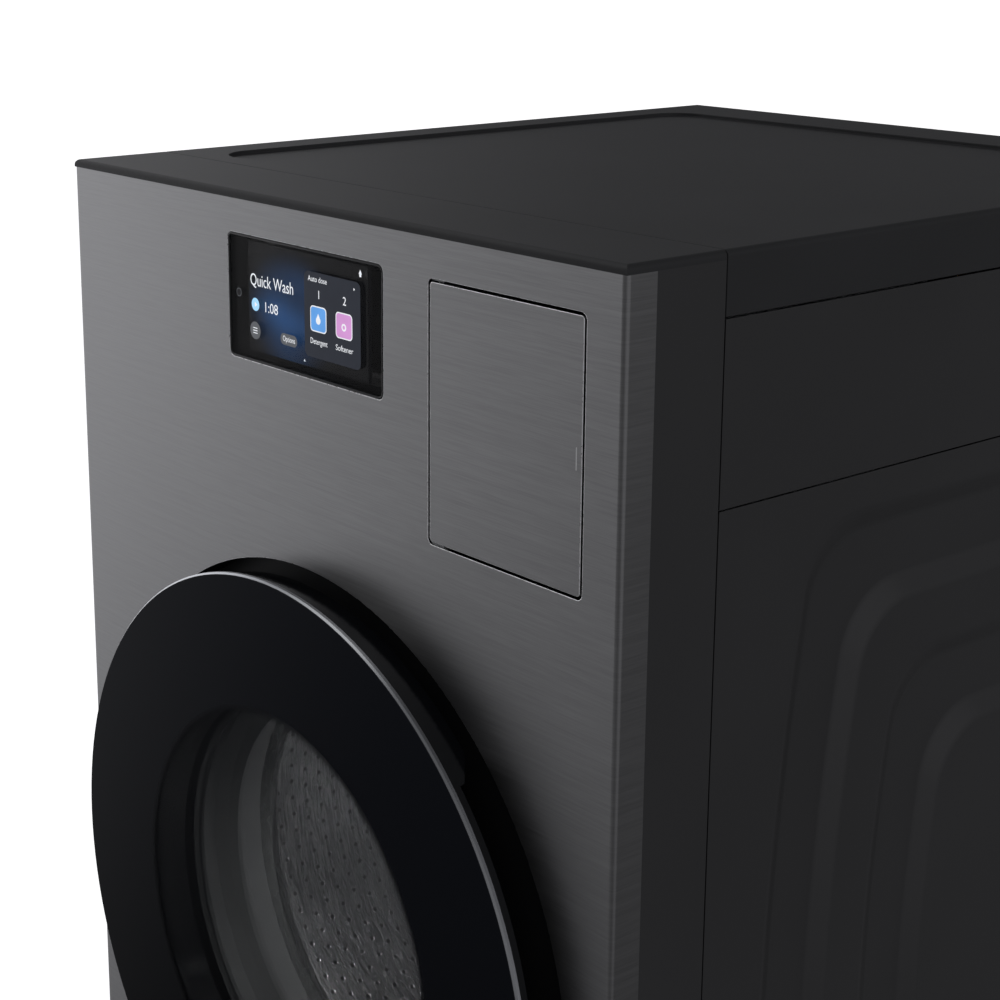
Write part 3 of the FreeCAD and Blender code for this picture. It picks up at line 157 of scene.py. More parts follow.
class Graph:
    """A node tree under construction."""

    def __init__(self, tree):
        self.tree = tree

    def add(self, kind, settings, *inputs):
        """Adds a node, sets its settings first, then its first sockets by value or link."""
        node = self.tree.nodes.new(kind)
        for key, value in settings.items():
            setattr(node, key, value)
        sockets = [s for s in node.inputs if s.enabled]
        for socket, value in zip(sockets, inputs):
            self.put(socket, value)
        return node

    def node(self, kind, settings, *inputs):
        """Like add, but gives the node's first live output as a value."""
        node = self.add(kind, settings, *inputs)
        return Value(self, [s for s in node.outputs if s.enabled][0])

    def put(self, socket, value):
        if value is None:
            return
        if isinstance(value, Value):
            self.tree.links.new(value.socket, socket)
        elif isinstance(value, tuple):
            socket.default_value = value[: len(socket.default_value)]
        else:
            socket.default_value = value

    def where(self, source):
        """A texture coordinate as a point, and its x, y and z."""
        point = Value(self, self.add("ShaderNodeTexCoord", {}).outputs[source])
        split = self.add("ShaderNodeSeparateXYZ", {}, point)
        return point, [Value(self, s) for s in split.outputs]

    def stretched(self, point, sx, sy, sz):
        """The point with each axis scaled by itself."""
        return self.node("ShaderNodeVectorMath", {"operation": "MULTIPLY"}, point, (sx, sy, sz))

    def noise(self, point, scale, detail=2.0, rough=0.5):
        return self.node("ShaderNodeTexNoise", {"noise_dimensions": "3D"}, point, scale, detail, rough)

    def mix(self, share, first, second):
        settings = {"data_type": "RGBA", "blend_type": "MIX"}
        node = self.add("ShaderNodeMix", settings)
        live = [s for s in node.inputs if s.enabled]
        self.put(live[0], share)
        self.put(live[1], first)
        self.put(live[2], second)
        return Value(self, [s for s in node.outputs if s.enabled][0])

    def shade(self, colour, amount):
        """A colour made lighter or darker by a varying amount."""
        grey = self.node("ShaderNodeCombineXYZ", {}, amount, amount, amount)
        return self.node("ShaderNodeVectorMath", {"operation": "MULTIPLY"}, colour, grey)


class Paint(Graph):
    """A material under construction, with one Principled shader."""

    def __init__(self, name, **constants):
        self.material = bpy.data.materials.new(name)
        self.material.use_nodes = True
        super().__init__(self.material.node_tree)
        self.shader = self.tree.nodes["Principled BSDF"]
        for socket, value in constants.items():
            self.shader.inputs[socket.replace("_", " ")].default_value = value

    def place(self):
        """The surface point in the object's own metres, and its x, y and z."""
        return self.where("Object")

    def wire(self, socket, value):
        self.put(self.shader.inputs[socket], value)

    def bump(self, height, strength, distance):
        node = self.add("ShaderNodeBump", {})
        node.inputs["Strength"].default_value = strength
        node.inputs["Distance"].default_value = distance
        self.put(node.inputs["Height"], height)
        self.tree.links.new(node.outputs["Normal"], self.shader.inputs["Normal"])


# ------------------------------------------------------------------ finishes
def rgb(colour):
    return (*colour[:3], 1.0)


def brushed_steel(name, colour, roughness=0.36):
    """Steel brushed in level lines, with painted shade that darkens it where it folds round the side."""
    paint = Paint(name, Metallic=1.0, Anisotropic=0.35)
    point, (x, _, _) = paint.place()
    # painted shade: the steel's colour drops to 0.42 of itself on the folded side, standing in for the shade
    # there
    fold_shade = x.size().rise(SIDE - FOLD, SIDE - FOLD_END, 1.0, 0.42)
    fine = paint.noise(paint.stretched(point, 25.0, 25.0, 1400.0), 1.0, 3.0, 0.6)
    broad = paint.noise(paint.stretched(point, 7.0, 7.0, 420.0), 1.0, 2.0)
    cloud = paint.noise(point, 3.0, 2.0)
    grain = fine * 0.65 + broad * 0.35
    paint.wire("Base Color", paint.shade(rgb(colour), grain.rise(0.3, 0.7, 0.9, 1.1) * fold_shade))
    paint.wire("Roughness", grain.rise(0.2, 0.8, roughness - 0.05, roughness + 0.06) + (cloud - 0.5) * 0.05)
    paint.bump(grain, 0.12, 0.00004)
    return paint.material


def powder_coat(name, colour, roughness=0.46):
    """Satin powder coat with a faint orange peel and slight unevenness."""
    paint = Paint(name, Specular_IOR_Level=0.45)
    point, _ = paint.place()
    peel = paint.noise(point, 520.0, 2.0)
    cloud = paint.noise(point, 4.0, 3.0)
    paint.wire("Base Color", paint.shade(rgb(colour), cloud.rise(0.3, 0.7, 0.9, 1.12)))
    paint.wire("Roughness", cloud.rise(0.3, 0.7, roughness - 0.03, roughness + 0.04))
    paint.bump(peel, 0.16, 0.00022)
    return paint.material


def moulded(name, colour, roughness=0.5, grain=1400.0, strength=0.2, shine=0.45):
    """Moulded plastic with a fine spark-eroded grain."""
    paint = Paint(name, Specular_IOR_Level=shine)
    point, _ = paint.place()
    fine = paint.noise(point, grain, 2.0)
    cloud = paint.noise(point, 7.0, 2.0)
    paint.wire("Base Color", paint.shade(rgb(colour), cloud.rise(0.3, 0.7, 0.93, 1.08)))
    paint.wire("Roughness", fine.rise(0.3, 0.7, roughness - 0.05, roughness + 0.06))
    paint.bump(fine, strength, 0.00015)
    return paint.material


def black_gloss(name, colour, roughness=0.12):
    """Polished black plastic or printed glass, with a trace of smears in its gloss."""
    paint = Paint(name, Specular_IOR_Level=0.5)
    point, _ = paint.place()
    smear = paint.noise(point, 9.0, 4.0, 0.6)
    paint.wire("Base Color", paint.shade(rgb(colour), smear.rise(0.3, 0.7, 0.9, 1.1)))
    paint.wire("Roughness", smear.rise(0.3, 0.75, roughness, roughness + 0.05))
    return paint.material


def bare_metal(name, colour, roughness=0.3, grain=60.0):
    paint = Paint(name, Metallic=1.0)
    point, _ = paint.place()
    cloud = paint.noise(point, grain, 3.0)
    paint.wire("Base Color", paint.shade(rgb(colour), cloud.rise(0.3, 0.7, 0.88, 1.1)))
    paint.wire("Roughness", cloud.rise(0.3, 0.7, roughness - 0.06, roughness + 0.1))
    paint.bump(cloud, 0.1, 0.0002)
    return paint.material


def soft_rubber(name, colour):
    paint = Paint(name, Specular_IOR_Level=0.35)
    point, _ = paint.place()
    dust = paint.noise(point, 30.0, 4.0, 0.6)
    paint.wire("Base Color", paint.shade(rgb(colour), dust.rise(0.3, 0.7, 0.9, 1.2)))
    paint.wire("Roughness", dust.rise(0.3, 0.7, 0.55, 0.72))
    paint.bump(paint.noise(point, 700.0, 2.0), 0.15, 0.0002)
    return paint.material


def door_tint(name, look):
    """Tinted door glass: clear enough to see through in the window, printed black round it, lighter towards
    the top with a painted reflection, and with a painted highlight round its edge.
    """
    paint = Paint(name, Specular_IOR_Level=0.035)
    point, (x, _, z) = paint.place()
    up = z - DOOR_Z
    reach = (x * x + up * up).root()
    printed = reach.rise(look.window_radius - 0.010, look.window_radius + 0.004)
    smear = paint.noise(point, 5.0, 3.0)
    # painted reflection: the glass runs from its darker bottom colour to its lighter top colour, standing in
    # for the studio light reflected in it
    painted_reflection_fade = up.rise(-DOOR_R, DOOR_R)
    tint = paint.mix(painted_reflection_fade, rgb(look.door_low_colour), rgb(look.door_high_colour))
    # painted highlight: a light metallic band round the glass's edge stands in for the light it catches
    painted_rim_glint = reach.rise(DOOR_R - 0.0017, DOOR_R - 0.0012)
    paint.wire("Base Color", paint.mix(painted_rim_glint, tint, rgb(look.rim_colour)))
    paint.wire("Metallic", painted_rim_glint)
    paint.wire("Roughness", smear.rise(0.3, 0.7, 0.07, 0.11) + painted_rim_glint * 0.2)
    paint.wire("Alpha", printed.rise(0.0, 1.0, look.tint, 1.0))
    return paint.material


def clear_glass(name, colour, alpha):
    paint = Paint(name, Specular_IOR_Level=0.6)
    point, _ = paint.place()
    smear = paint.noise(point, 8.0, 3.0)
    paint.wire("Base Color", paint.shade(rgb(colour), smear.rise(0.3, 0.7, 0.9, 1.1)))
    paint.wire("Roughness", smear.rise(0.3, 0.7, 0.03, 0.08))
    paint.wire("Alpha", smear.rise(0.3, 0.7, alpha, alpha + 0.05))
    return paint.material


def perforated_steel(name, colour, look):
    """Drum steel with round holes in rows round its wall, the holes painted near-black as painted shade
    instead of being cut.
    """
    paint = Paint(name, Metallic=1.0)
    point, (x, y, z) = paint.place()
    turn = paint.node("ShaderNodeMath", {"operation": "ARCTAN2"}, z - DOOR_Z, x)
    row = y / look.hole_pitch
    shifted = paint.node("ShaderNodeMath", {"operation": "FLOOR"}, row) * 0.5
    column = turn * (look.holes_round / math.tau) + shifted
    across = (column.cut() - 0.5) * (math.tau * look.drum_radius / look.holes_round)
    along = (row.cut() - 0.5) * look.hole_pitch
    out = (across * across + along * along).root()
    hole = out.rise(look.hole_radius, look.hole_radius + HOLE_EDGE, 1.0, 0.0)
    lip = out.rise(look.hole_radius, look.hole_radius + HOLE_LIP)
    wall_start = look.drum_radius - WALL_DEPTH
    wall = (x * x + (z - DOOR_Z) * (z - DOOR_Z)).root().rise(wall_start, wall_start + WALL_EDGE)
    hole = hole * wall
    streak = paint.noise(paint.stretched(point, 40.0, 500.0, 40.0), 1.0, 2.0)
    # painted shade: the holes are painted near-black, as the shade seen through them
    paint.wire("Base Color", paint.mix(hole, rgb(colour), (0.004, 0.004, 0.005, 1.0)))
    paint.wire("Roughness", streak.rise(0.2, 0.8, 0.2, 0.34) + hole * 0.5)
    paint.bump(lip * wall, 0.5, 0.0008)
    return paint.material


def lit_screen(name, look):
    """The screen's own picture: near-black, with a dim blue glow left of the middle and faint streaks."""
    paint = Paint(name, Specular_IOR_Level=0.5, Roughness=0.08)
    _, (x, _, z) = paint.place()
    box_low, box_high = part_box("lcd_panel")
    u = (x - box_low.x) / (box_high.x - box_low.x)
    v = (z - box_low.z) / (box_high.z - box_low.z)
    across, up = u - look.glow_across, v - look.glow_up
    out = (across * across + up * up * 0.5).root()
    streak = (u * 7.0 + v * 9.0).sine() * (u * 3.0 - v * 5.0).sine()
    glow = out.rise(0.42, 0.04) * (0.75 + streak * 0.35)
    paint.wire("Base Color", (0.003, 0.003, 0.004, 1.0))
    paint.wire("Emission Color", paint.mix(glow, (0.0006, 0.0007, 0.001, 1.0), rgb(look.glow_colour)))
    paint.shader.inputs["Emission Strength"].default_value = look.glow
    return paint.material


def put_on(material, *names):
    """Gives CAD nodes or new pieces a material in their own object's slots."""
    for name in names:
        piece = bpy.data.objects[name]
        if not piece.material_slots:
            piece.data.materials.append(None)
        for slot in piece.material_slots:
            slot.link = "OBJECT"
            slot.material = material


def nodes_in(slot_name):
    """The CAD nodes that the record gives this material slot."""
    return [part["node"] for part in frame["record"]["subparts"] if part["material_slot"] == slot_name]


# ------------------------------------------------------------------ mesh helpers
BODY_OF = {node: body for body, nodes in frame["record"]["behaviour"]["bodies"].items() for node in nodes}


def pick(piece):
    """Makes a piece the only selected one, and active."""
    bpy.ops.object.select_all(action="DESELECT")
    piece.select_set(True)
    bpy.context.view_layer.objects.active = piece


def settle(piece):
    """Writes a piece's place, turn and size into its mesh."""
    pick(piece)
    bpy.ops.object.transform_apply(location=True, rotation=True, scale=True)


def finish_piece(piece, name, body, smooth=50.0):
    piece.name = name
    piece.data.name = name
    settle(piece)
    bpy.ops.object.shade_smooth_by_angle(angle=math.radians(smooth))
    bpy.ops.object.modifier_add(type="WEIGHTED_NORMAL")
    weighting = piece.modifiers[-1]
    weighting.weight = 100
    weighting.keep_sharp = True
    bpy.ops.object.modifier_apply(modifier=weighting.name)
    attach(piece, body)
    return piece


def stand_in(node):
    """A welded copy of a CAD node, in edit mode with everything selected, ready to be softened."""
    source = NODES[node]
    piece = source.copy()
    piece.data = source.data.copy()
    piece.parent = None
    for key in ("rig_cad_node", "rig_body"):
        del piece[key]
    bpy.context.scene.collection.objects.link(piece)
    pick(piece)
    bpy.ops.object.mode_set(mode="EDIT")
    bpy.ops.mesh.select_all(action="SELECT")
    bpy.ops.mesh.remove_doubles(threshold=0.00001)
    bpy.ops.mesh.dissolve_limited(angle_limit=math.radians(0.5))
    return piece


def edges_where(piece, test):
    """Selects the edges of a piece in edit mode that pass the test, and no others."""
    bpy.ops.mesh.select_all(action="DESELECT")
    bpy.ops.mesh.select_mode(type="EDGE")
    mesh = bmesh.from_edit_mesh(piece.data)
    for edge in mesh.edges:
        edge.select_set(len(edge.link_faces) == 2 and test(edge))
    bmesh.update_edit_mesh(piece.data)


def softened(node, width, test, steps=2, sharp=30.0, highlight_trim=None):
    """Stands in for a CAD node, with the sharp edges that pass the test rounded, and the rounded faces given
    the lighter painted-highlight material if one is passed.
    """
    piece = stand_in(node)
    edges_where(piece, lambda edge: edge.calc_face_angle() > math.radians(sharp) and test(edge))
    body = NODES[node].material_slots[0].material
    piece.data.materials.clear()
    piece.data.materials.append(body)
    if highlight_trim:
        piece.data.materials.append(highlight_trim)
    band = 1 if highlight_trim else -1
    bpy.ops.mesh.bevel(
        offset=width, segments=steps, profile=0.5, affect="EDGES", clamp_overlap=False, material=band
    )
    bpy.ops.object.mode_set(mode="OBJECT")
    for slot, material in zip(piece.material_slots, (body, highlight_trim)):
        slot.link = "OBJECT"
        slot.material = material
    finish_piece(piece, node + "_soft", BODY_OF[node])
    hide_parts(node)
    return piece


# ------------------------------------------------------------------ settings
def colour(name, description, default):
    return bpy.props.FloatVectorProperty(
        name=name, description=description, default=default, size=3, min=0.0, max=1.0, subtype="COLOR"
    )


def length(name, description, default):
    return bpy.props.FloatProperty(
        name=name, description=description, default=default, min=0.0, unit="LENGTH"
    )


def amount(name, description, default):
    return bpy.props.FloatProperty(name=name, description=description, default=default, min=0.0)


def share(name, description, default, high=1.0):
    return bpy.props.FloatProperty(
        name=name, description=description, default=default, min=0.0, max=high, subtype="FACTOR"
    )


def angle(name, description, degrees):
    return bpy.props.FloatProperty(
        name=name, description=description, default=math.radians(degrees), subtype="ANGLE"
    )


class ShellLook(bpy.types.PropertyGroup):
    """Colours of the cabinet's outside."""

    front_colour: colour("Front", "Brushed steel of the front", (0.36, 0.36, 0.365))
    coat_colour: colour("Coat", "Powder coat of the frame and sides", (0.0165, 0.0165, 0.0176))
    cap_colour: colour("Cap", "Moulded top cap and top plate", (0.020, 0.0205, 0.022))
    zinc_colour: colour("Zinc", "Bare zinc-coated sheet", (0.42, 0.43, 0.44))


class EdgeLook(bpy.types.PropertyGroup):
    """How far edges are rounded, and the painted highlight on the front's sheet edges."""

    sheet_width: length("Sheet edges", "Rounding of cut and folded sheet edges", 0.00055)
    # This colour is a painted highlight: a far lighter steel laid on the rounded edges of the front's sheets.
    edge_colour: colour("Cut edge", "Bright edge of the front's sheet", (0.85, 0.85, 0.86))
    cover_width: length("Cover edges", "Rounding of moulded covers", 0.0008)
    press_width: length("Pressed slopes", "Rounding of the slopes pressed into the sides", 0.003)


class DoorLook(bpy.types.PropertyGroup):
    """Colours of the door's glass, with its painted reflection and the painted highlight round its edge."""

    # The top and bottom colours make a painted reflection: lighter at the top, darker at the bottom.
    door_high_colour: colour("Glass top", "Printed glass at its top edge", (0.010, 0.0115, 0.016))
    door_low_colour: colour("Glass bottom", "Printed glass at its bottom edge", (0.002, 0.0025, 0.004))
    # This colour is a painted highlight round the glass's edge.
    rim_colour: colour("Rim", "Ground edge of the glass", (0.42, 0.43, 0.45))
    window_radius: length("Window", "Radius of the part that can be seen through", 0.190)
    tint: share("Tint", "How much the window's tint hides", 0.4)


class DrumLook(bpy.types.PropertyGroup):
    """Holes of the drum."""

    drum_radius: length("Drum radius", "Radius of the perforated wall", 0.250)
    hole_radius: length("Hole radius", "Radius of each hole", 0.0018)
    hole_pitch: length("Hole pitch", "Distance from row to row", 0.016)
    holes_round: bpy.props.IntProperty(name="Holes round", description="Holes in each row", default=96, min=8)


class ScreenLook(bpy.types.PropertyGroup):
    """The touch screen's picture."""

    glow_colour: colour("Glow", "Colour of the picture's glow", (0.012, 0.055, 0.16))
    glow: amount("Glow strength", "Brightness of the glow", 1.2)
    glow_across: share("Glow across", "Middle of the glow, from the screen's left to its right", 0.36)
    glow_up: share("Glow up", "Middle of the glow, from the screen's bottom to its top", 0.42)


class InterfaceLook(bpy.types.PropertyGroup):
    """The signs that the touch screen and the panels carry."""

    white: colour("White", "Words and signs", (0.80, 0.82, 0.86))
    play_colour: colour("Play", "Round start button", (0.36, 0.66, 0.92))
    grey: colour("Grey", "Buttons at rest", (0.10, 0.105, 0.115))
    card_colour: colour("Card", "Card behind the two doses", (0.022, 0.025, 0.034))
    detergent_colour: colour("Detergent", "Tile of the detergent dose", (0.12, 0.34, 0.75))
    softener_colour: colour("Softener", "Tile of the softener dose", (0.62, 0.30, 0.62))
    thickness: length("Thickness", "Thickness of a printed sign", 0.00004)
    lift: length("Lift", "Height of each layer of signs over the one below", 0.00006)


class StageLook(bpy.types.PropertyGroup):
    """Camera and light."""

    camera_place: bpy.props.FloatVectorProperty(
        name="Camera",
        description="Where the camera stands",
        default=(1.2098, -1.2640, 1.3258),
        size=3,
        unit="LENGTH",
    )
    camera_turn: angle("Turn", "Camera's turn about the vertical", 51.171)
    camera_drop: angle("Drop", "Camera's tilt below the horizon", 13.339)
    camera_roll: angle("Roll", "Camera's roll about its own line of sight", -0.029)
    camera_lens: bpy.props.FloatProperty(
        name="Lens", description="Focal length on a 36 mm sensor", default=72.05, subtype="DISTANCE_CAMERA"
    )
    camera_shift: bpy.props.FloatVectorProperty(
        name="Shift", description="Sideways and upward shift of the picture", default=(0.08, -0.12), size=2
    )
    floor_colour: colour("Floor", "Pale floor", (0.82, 0.82, 0.82))
    floor_glow: share("Floor glow", "Light of the floor's own, as from a lit studio cove", 1.1, 2.0)
    sky_colour: colour("Studio", "Dim light that comes from all round", (0.15, 0.15, 0.155))
    glow_start: share("Glow start", "How far round to the left the glow starts", 0.70)
    glow_end: share("Glow end", "How far round to the left the glow is full", 1.0)
    glow_strength: amount("Glow strength", "The glow's light, as a multiple of the dim light", 8.5)
    fill_side: share("Fill sideways", "Sideways part of the fill's direction", 0.95)
    fill_up: share("Fill upward", "Upward part of the fill's direction", 0.3)
    fill_start: share("Fill start", "How far round to the upper right the fill light starts", 0.56)
    fill_end: share("Fill end", "How far round to the upper right the fill light is full", 0.8)
    fill_strength: amount("Fill strength", "The fill's light, as a multiple of the dim light", 3.0)
    overhead_light: amount("Overhead light", "Watts of the panel over the front", 12.0)
    drum_light: amount("Drum light", "Watts of the lamp in the drum", 1.5)


# ------------------------------------------------------------------ operators
class WASHER_OT_shell_finish(bpy.types.Operator):
    """Gives the cabinet's outside its steel, powder coat and mouldings"""

    bl_idname = "washer.shell_finish"
    bl_label = "Shell finishes"

    def execute(self, context):
        look = context.scene.washer_shell
        put_on(brushed_steel("brushed_front", look.front_colour), *nodes_in("brushed_front"))
        put_on(powder_coat("dark_coat", look.coat_colour), *nodes_in("dark_sheet"))
        put_on(moulded("dark_mould", look.cap_colour, shine=0.26), *nodes_in("dark_mould"))
        put_on(bare_metal("zinc_sheet", look.zinc_colour, 0.42, 25.0), *nodes_in("zinc_sheet"))
        put_on(soft_rubber("foot_rubber", (0.02, 0.02, 0.02)), *nodes_in("foot_rubber"))
        return {"FINISHED"}


class WASHER_OT_door_finish(bpy.types.Operator):
    """Gives the door and the display their glass"""

    bl_idname = "washer.door_finish"
    bl_label = "Door and display finishes"

    def execute(self, context):
        look = context.scene.washer_door
        put_on(black_gloss("black_gloss", (0.006, 0.0065, 0.008)), *nodes_in("black_gloss"))
        put_on(door_tint("tinted_glass", look), *nodes_in("tinted_glass"))
        put_on(clear_glass("clear_glass", (0.5, 0.52, 0.52), 0.22), *nodes_in("clear_glass"))
        put_on(lit_screen("screen", context.scene.washer_screen), *nodes_in("screen"))
        put_on(clear_glass("cover_glass", (0.01, 0.01, 0.012), 0.12), "display_glass")
        return {"FINISHED"}


class WASHER_OT_works_finish(bpy.types.Operator):
    """Gives the works inside the cabinet their materials"""

    bl_idname = "washer.works_finish"
    bl_label = "Finishes of the works"

    def execute(self, context):
        steel = perforated_steel("drum_steel", (0.62, 0.62, 0.63), context.scene.washer_drum)
        put_on(steel, *nodes_in("drum_steel"))
        for slot_name, material in {
            "circuit_green": moulded("circuit_green", (0.01, 0.09, 0.035), 0.4),
            "light_mould": moulded("light_mould", (0.52, 0.53, 0.54), 0.42),
            "tub_mould": moulded("tub_mould", (0.30, 0.31, 0.31), 0.55, 500.0),
            "white_valve": moulded("valve_mould", (0.6, 0.62, 0.64), 0.4),
            "gasket_rubber": soft_rubber("gasket_rubber", (0.09, 0.092, 0.095)),
            "bright_steel": bare_metal("bright_steel", (0.62, 0.62, 0.63), 0.22),
            "cast_alloy": bare_metal("cast_alloy", (0.42, 0.42, 0.43), 0.45, 120.0),
            "fin_alloy": bare_metal("fin_alloy", (0.7, 0.71, 0.72), 0.35),
            "copper_pipe": bare_metal("copper_pipe", (0.76, 0.34, 0.16), 0.3),
            "cast_weight": moulded("cast_weight", (0.23, 0.225, 0.215), 0.85, 180.0, 0.5),
            "compressor_paint": powder_coat("compressor_paint", (0.012, 0.012, 0.013), 0.35),
        }.items():
            put_on(material, *nodes_in(slot_name))
        return {"FINISHED"}


class WASHER_OT_soft_edges(bpy.types.Operator):
    """Rounds the edges of the front's sheet parts and covers, so that they catch the light, and gives the
    sheet parts' rounded edges a painted highlight
    """

    bl_idname = "washer.soft_edges"
    bl_label = "Softened edges"

    def execute(self, context):
        look = context.scene.washer_edges
        # painted highlight: the rounded edges of the front's sheets get a far lighter steel than the front,
        # standing in for the light they catch
        painted_highlight = bare_metal("painted_highlight_edge", look.edge_colour, 0.3, 200.0)

        def inboard(edge):
            return abs(edge.verts[0].co.x) < SIDE - TRIM_END

        for node in ("front_panel", "kick_panel", "dispenser_door_skin", "service_flap"):
            softened(node, look.sheet_width, inboard, highlight_trim=painted_highlight)
        for node in ("display_bezel", "rear_cover", "top_plate"):
            softened(node, look.cover_width, lambda edge: True)
        return {"FINISHED"}


class WASHER_OT_side_pressings(bpy.types.Operator):
    """Rounds the slopes of the arches pressed into the cabinet's sides"""

    bl_idname = "washer.side_pressings"
    bl_label = "Side pressings"

    def execute(self, context):
        width = context.scene.washer_edges.press_width
        for node in ("lower_side_panel_right", "lower_side_panel_left"):
            margin = Vector((0.0, PRESS_MARGIN, PRESS_MARGIN))
            inner_low, inner_high = low(node) + margin, high(node) - margin

            def pressed(edge):
                return all(
                    inner_low.y < vert.co.y < inner_high.y and inner_low.z < vert.co.z < inner_high.z
                    for vert in edge.verts
                )

            softened(node, width, pressed, steps=4, sharp=18.0)
        return {"FINISHED"}


class WASHER_OT_interface(bpy.types.Operator):
    """Lays the words, buttons and tiles of the wash programme on the display"""

    bl_idname = "washer.interface"
    bl_label = "Display signs"

    def execute(self, context):
        self.look = context.scene.washer_interface
        glass = low("display_glass")
        screen = (low("lcd_panel") + high("lcd_panel")) / 2
        self.middle = Vector((screen.x, glass.y, screen.z))
        self.white = self.lit("sign_white", self.look.white)
        self.grey = self.lit("sign_grey", self.look.grey)
        self.programme()
        self.doses()
        self.small_signs()
        return {"FINISHED"}

    # Places and sizes on the display are millimetres from the screen's middle, x rightward and z upward.

    def programme(self):
        """The programme's name, its start button and time, and the two buttons under them."""
        self.words("title", "Quick Wash", -71.5, 9.6, 9.6, self.white, 57.5)
        self.disc("play_disc", -64.7, -5.4, 5.2, self.lit("sign_play", self.look.play_colour), 32)
        self.disc("play_arrow", -64.4, -5.4, 2.4, self.white, 3, layer=2)
        self.words("time_left", "1:08", -53.5, -9.4, 8.0, self.white)
        self.disc("menu_disc", -65.5, -26.3, 7.0, self.grey, 40)
        for row in (-2, 0, 2):
            self.tile("menu_line_%d" % (row + 2), -65.5, -26.3 + row, 6.0, 0.7, 0.3, self.white, layer=2)
        self.tile("option_pill", -20.2, -26.6, 22.0, 9.0, 4.4, self.grey)
        self.words("option_word", "Options", -28.2, -28.2, 4.4, self.white, 16.0, layer=2)

    def doses(self):
        """The card with a tile for each dose."""
        card = self.lit("sign_card", self.look.card_colour)
        self.tile("dose_card", 36.0, -1.6, 70.0, 65.6, 5.0, card)
        self.words("dose_caption", "Auto dose", 6.0, 24.0, 4.2, self.white, 24.0, layer=2)
        for name, x, count, colour in (
            ("detergent", 18.8, "1", self.look.detergent_colour),
            ("softener", 50.9, "2", self.look.softener_colour),
        ):
            tint = self.lit(name + "_lit", colour)
            self.words(name + "_count", count, x - 1.4, 11.6, 6.4, self.white, layer=2)
            self.tile(name + "_rim", x, -4.2, 20.4, 19.8, 3.4, self.white, layer=2)
            self.tile(name + "_tile", x, -4.2, 18.6, 18.0, 2.7, tint, layer=3)
            self.disc(name + "_drop", x, -5.2, 2.9, self.white, 28, layer=4)
            self.words(name + "_word", name.capitalize(), x - 10.6, -23.6, 4.4, self.white, 21.5, layer=2)
        self.disc("drop_tip", 18.8, -1.8, 2.1, self.white, 3, layer=4, turn=90.0)
        self.disc("softener_core", 50.9, -5.2, 1.5, tint, 24, layer=5)

    def small_signs(self):
        """The home sign, the arrows and the touch mark beside the screen."""
        self.disc("home_base", 71.2, 36.8, 1.7, self.white, 4, turn=45.0)
        self.disc("home_roof", 71.2, 38.8, 2.2, self.white, 3, turn=90.0)
        self.disc("next_arrow", 63.6, 25.3, 1.2, self.white, 3, layer=2)
        self.disc("more_arrow", 0.3, -38.9, 1.3, self.white, 3, turn=90.0)
        self.disc("touch_ring", -87.4, 1.1, 3.4, self.grey, 36)
        self.disc("touch_core", -87.4, 1.1, 2.8, self.lit("sign_dark", (0.004, 0.004, 0.005)), 36, layer=2)

    def lit(self, name, colour):
        """A sign's material: the colour gives light of its own, a little uneven like a backlight."""
        if name in bpy.data.materials:
            return bpy.data.materials[name]
        paint = Paint(name, Roughness=0.3, Specular_IOR_Level=0.1, Emission_Strength=1.0)
        even = paint.noise(paint.place()[0], 60.0, 1.0).rise(0.2, 0.8, 0.94, 1.04)
        paint.wire("Base Color", paint.shade(rgb([0.2 * part for part in colour]), even))
        paint.wire("Emission Color", paint.shade(rgb(colour), even))
        return paint.material

    def lay(self, name, x, z, material, layer):
        """Stands the flat piece up in front of the glass, x and z millimetres from the middle."""
        piece = bpy.context.object
        place = Vector((x * MM, -self.look.lift * layer, z * MM))
        piece.location = self.middle + place
        piece.rotation_euler = (math.pi / 2, 0.0, 0.0)
        put_on(material, piece.name)
        finish_piece(piece, name, "cabinet", 30.0)

    def raised(self):
        """Gives the flat piece in edit mode its thickness."""
        bpy.ops.mesh.select_all(action="SELECT")
        bpy.ops.mesh.extrude_region_move(TRANSFORM_OT_translate={"value": (0.0, 0.0, -self.look.thickness)})
        bpy.ops.mesh.select_all(action="SELECT")
        bpy.ops.mesh.normals_make_consistent(inside=False)
        bpy.ops.object.mode_set(mode="OBJECT")

    def disc(self, name, x, z, radius, material, corners, layer=1, turn=0.0):
        """A disc, or with few corners an arrow or a block, turned by the given degrees."""
        bpy.ops.mesh.primitive_circle_add(vertices=corners, radius=radius * MM, fill_type="NGON")
        bpy.ops.object.mode_set(mode="EDIT")
        bpy.ops.mesh.select_all(action="SELECT")
        bpy.ops.transform.rotate(
            value=math.radians(90.0 - turn), orient_axis="Z", center_override=(0.0, 0.0, 0.0)
        )
        self.raised()
        self.lay(name, x, z, material, layer)

    def tile(self, name, x, z, width, height, corner, material, layer=1):
        """A rectangle with round corners."""
        bpy.ops.mesh.primitive_plane_add(size=1.0)
        bpy.context.object.scale = (width * MM, height * MM, 1.0)
        settle(bpy.context.object)
        bpy.ops.object.mode_set(mode="EDIT")
        bpy.ops.mesh.select_all(action="SELECT")
        bpy.ops.mesh.bevel(offset=corner * MM, segments=6, affect="VERTICES")
        self.raised()
        self.lay(name, x, z, material, layer)

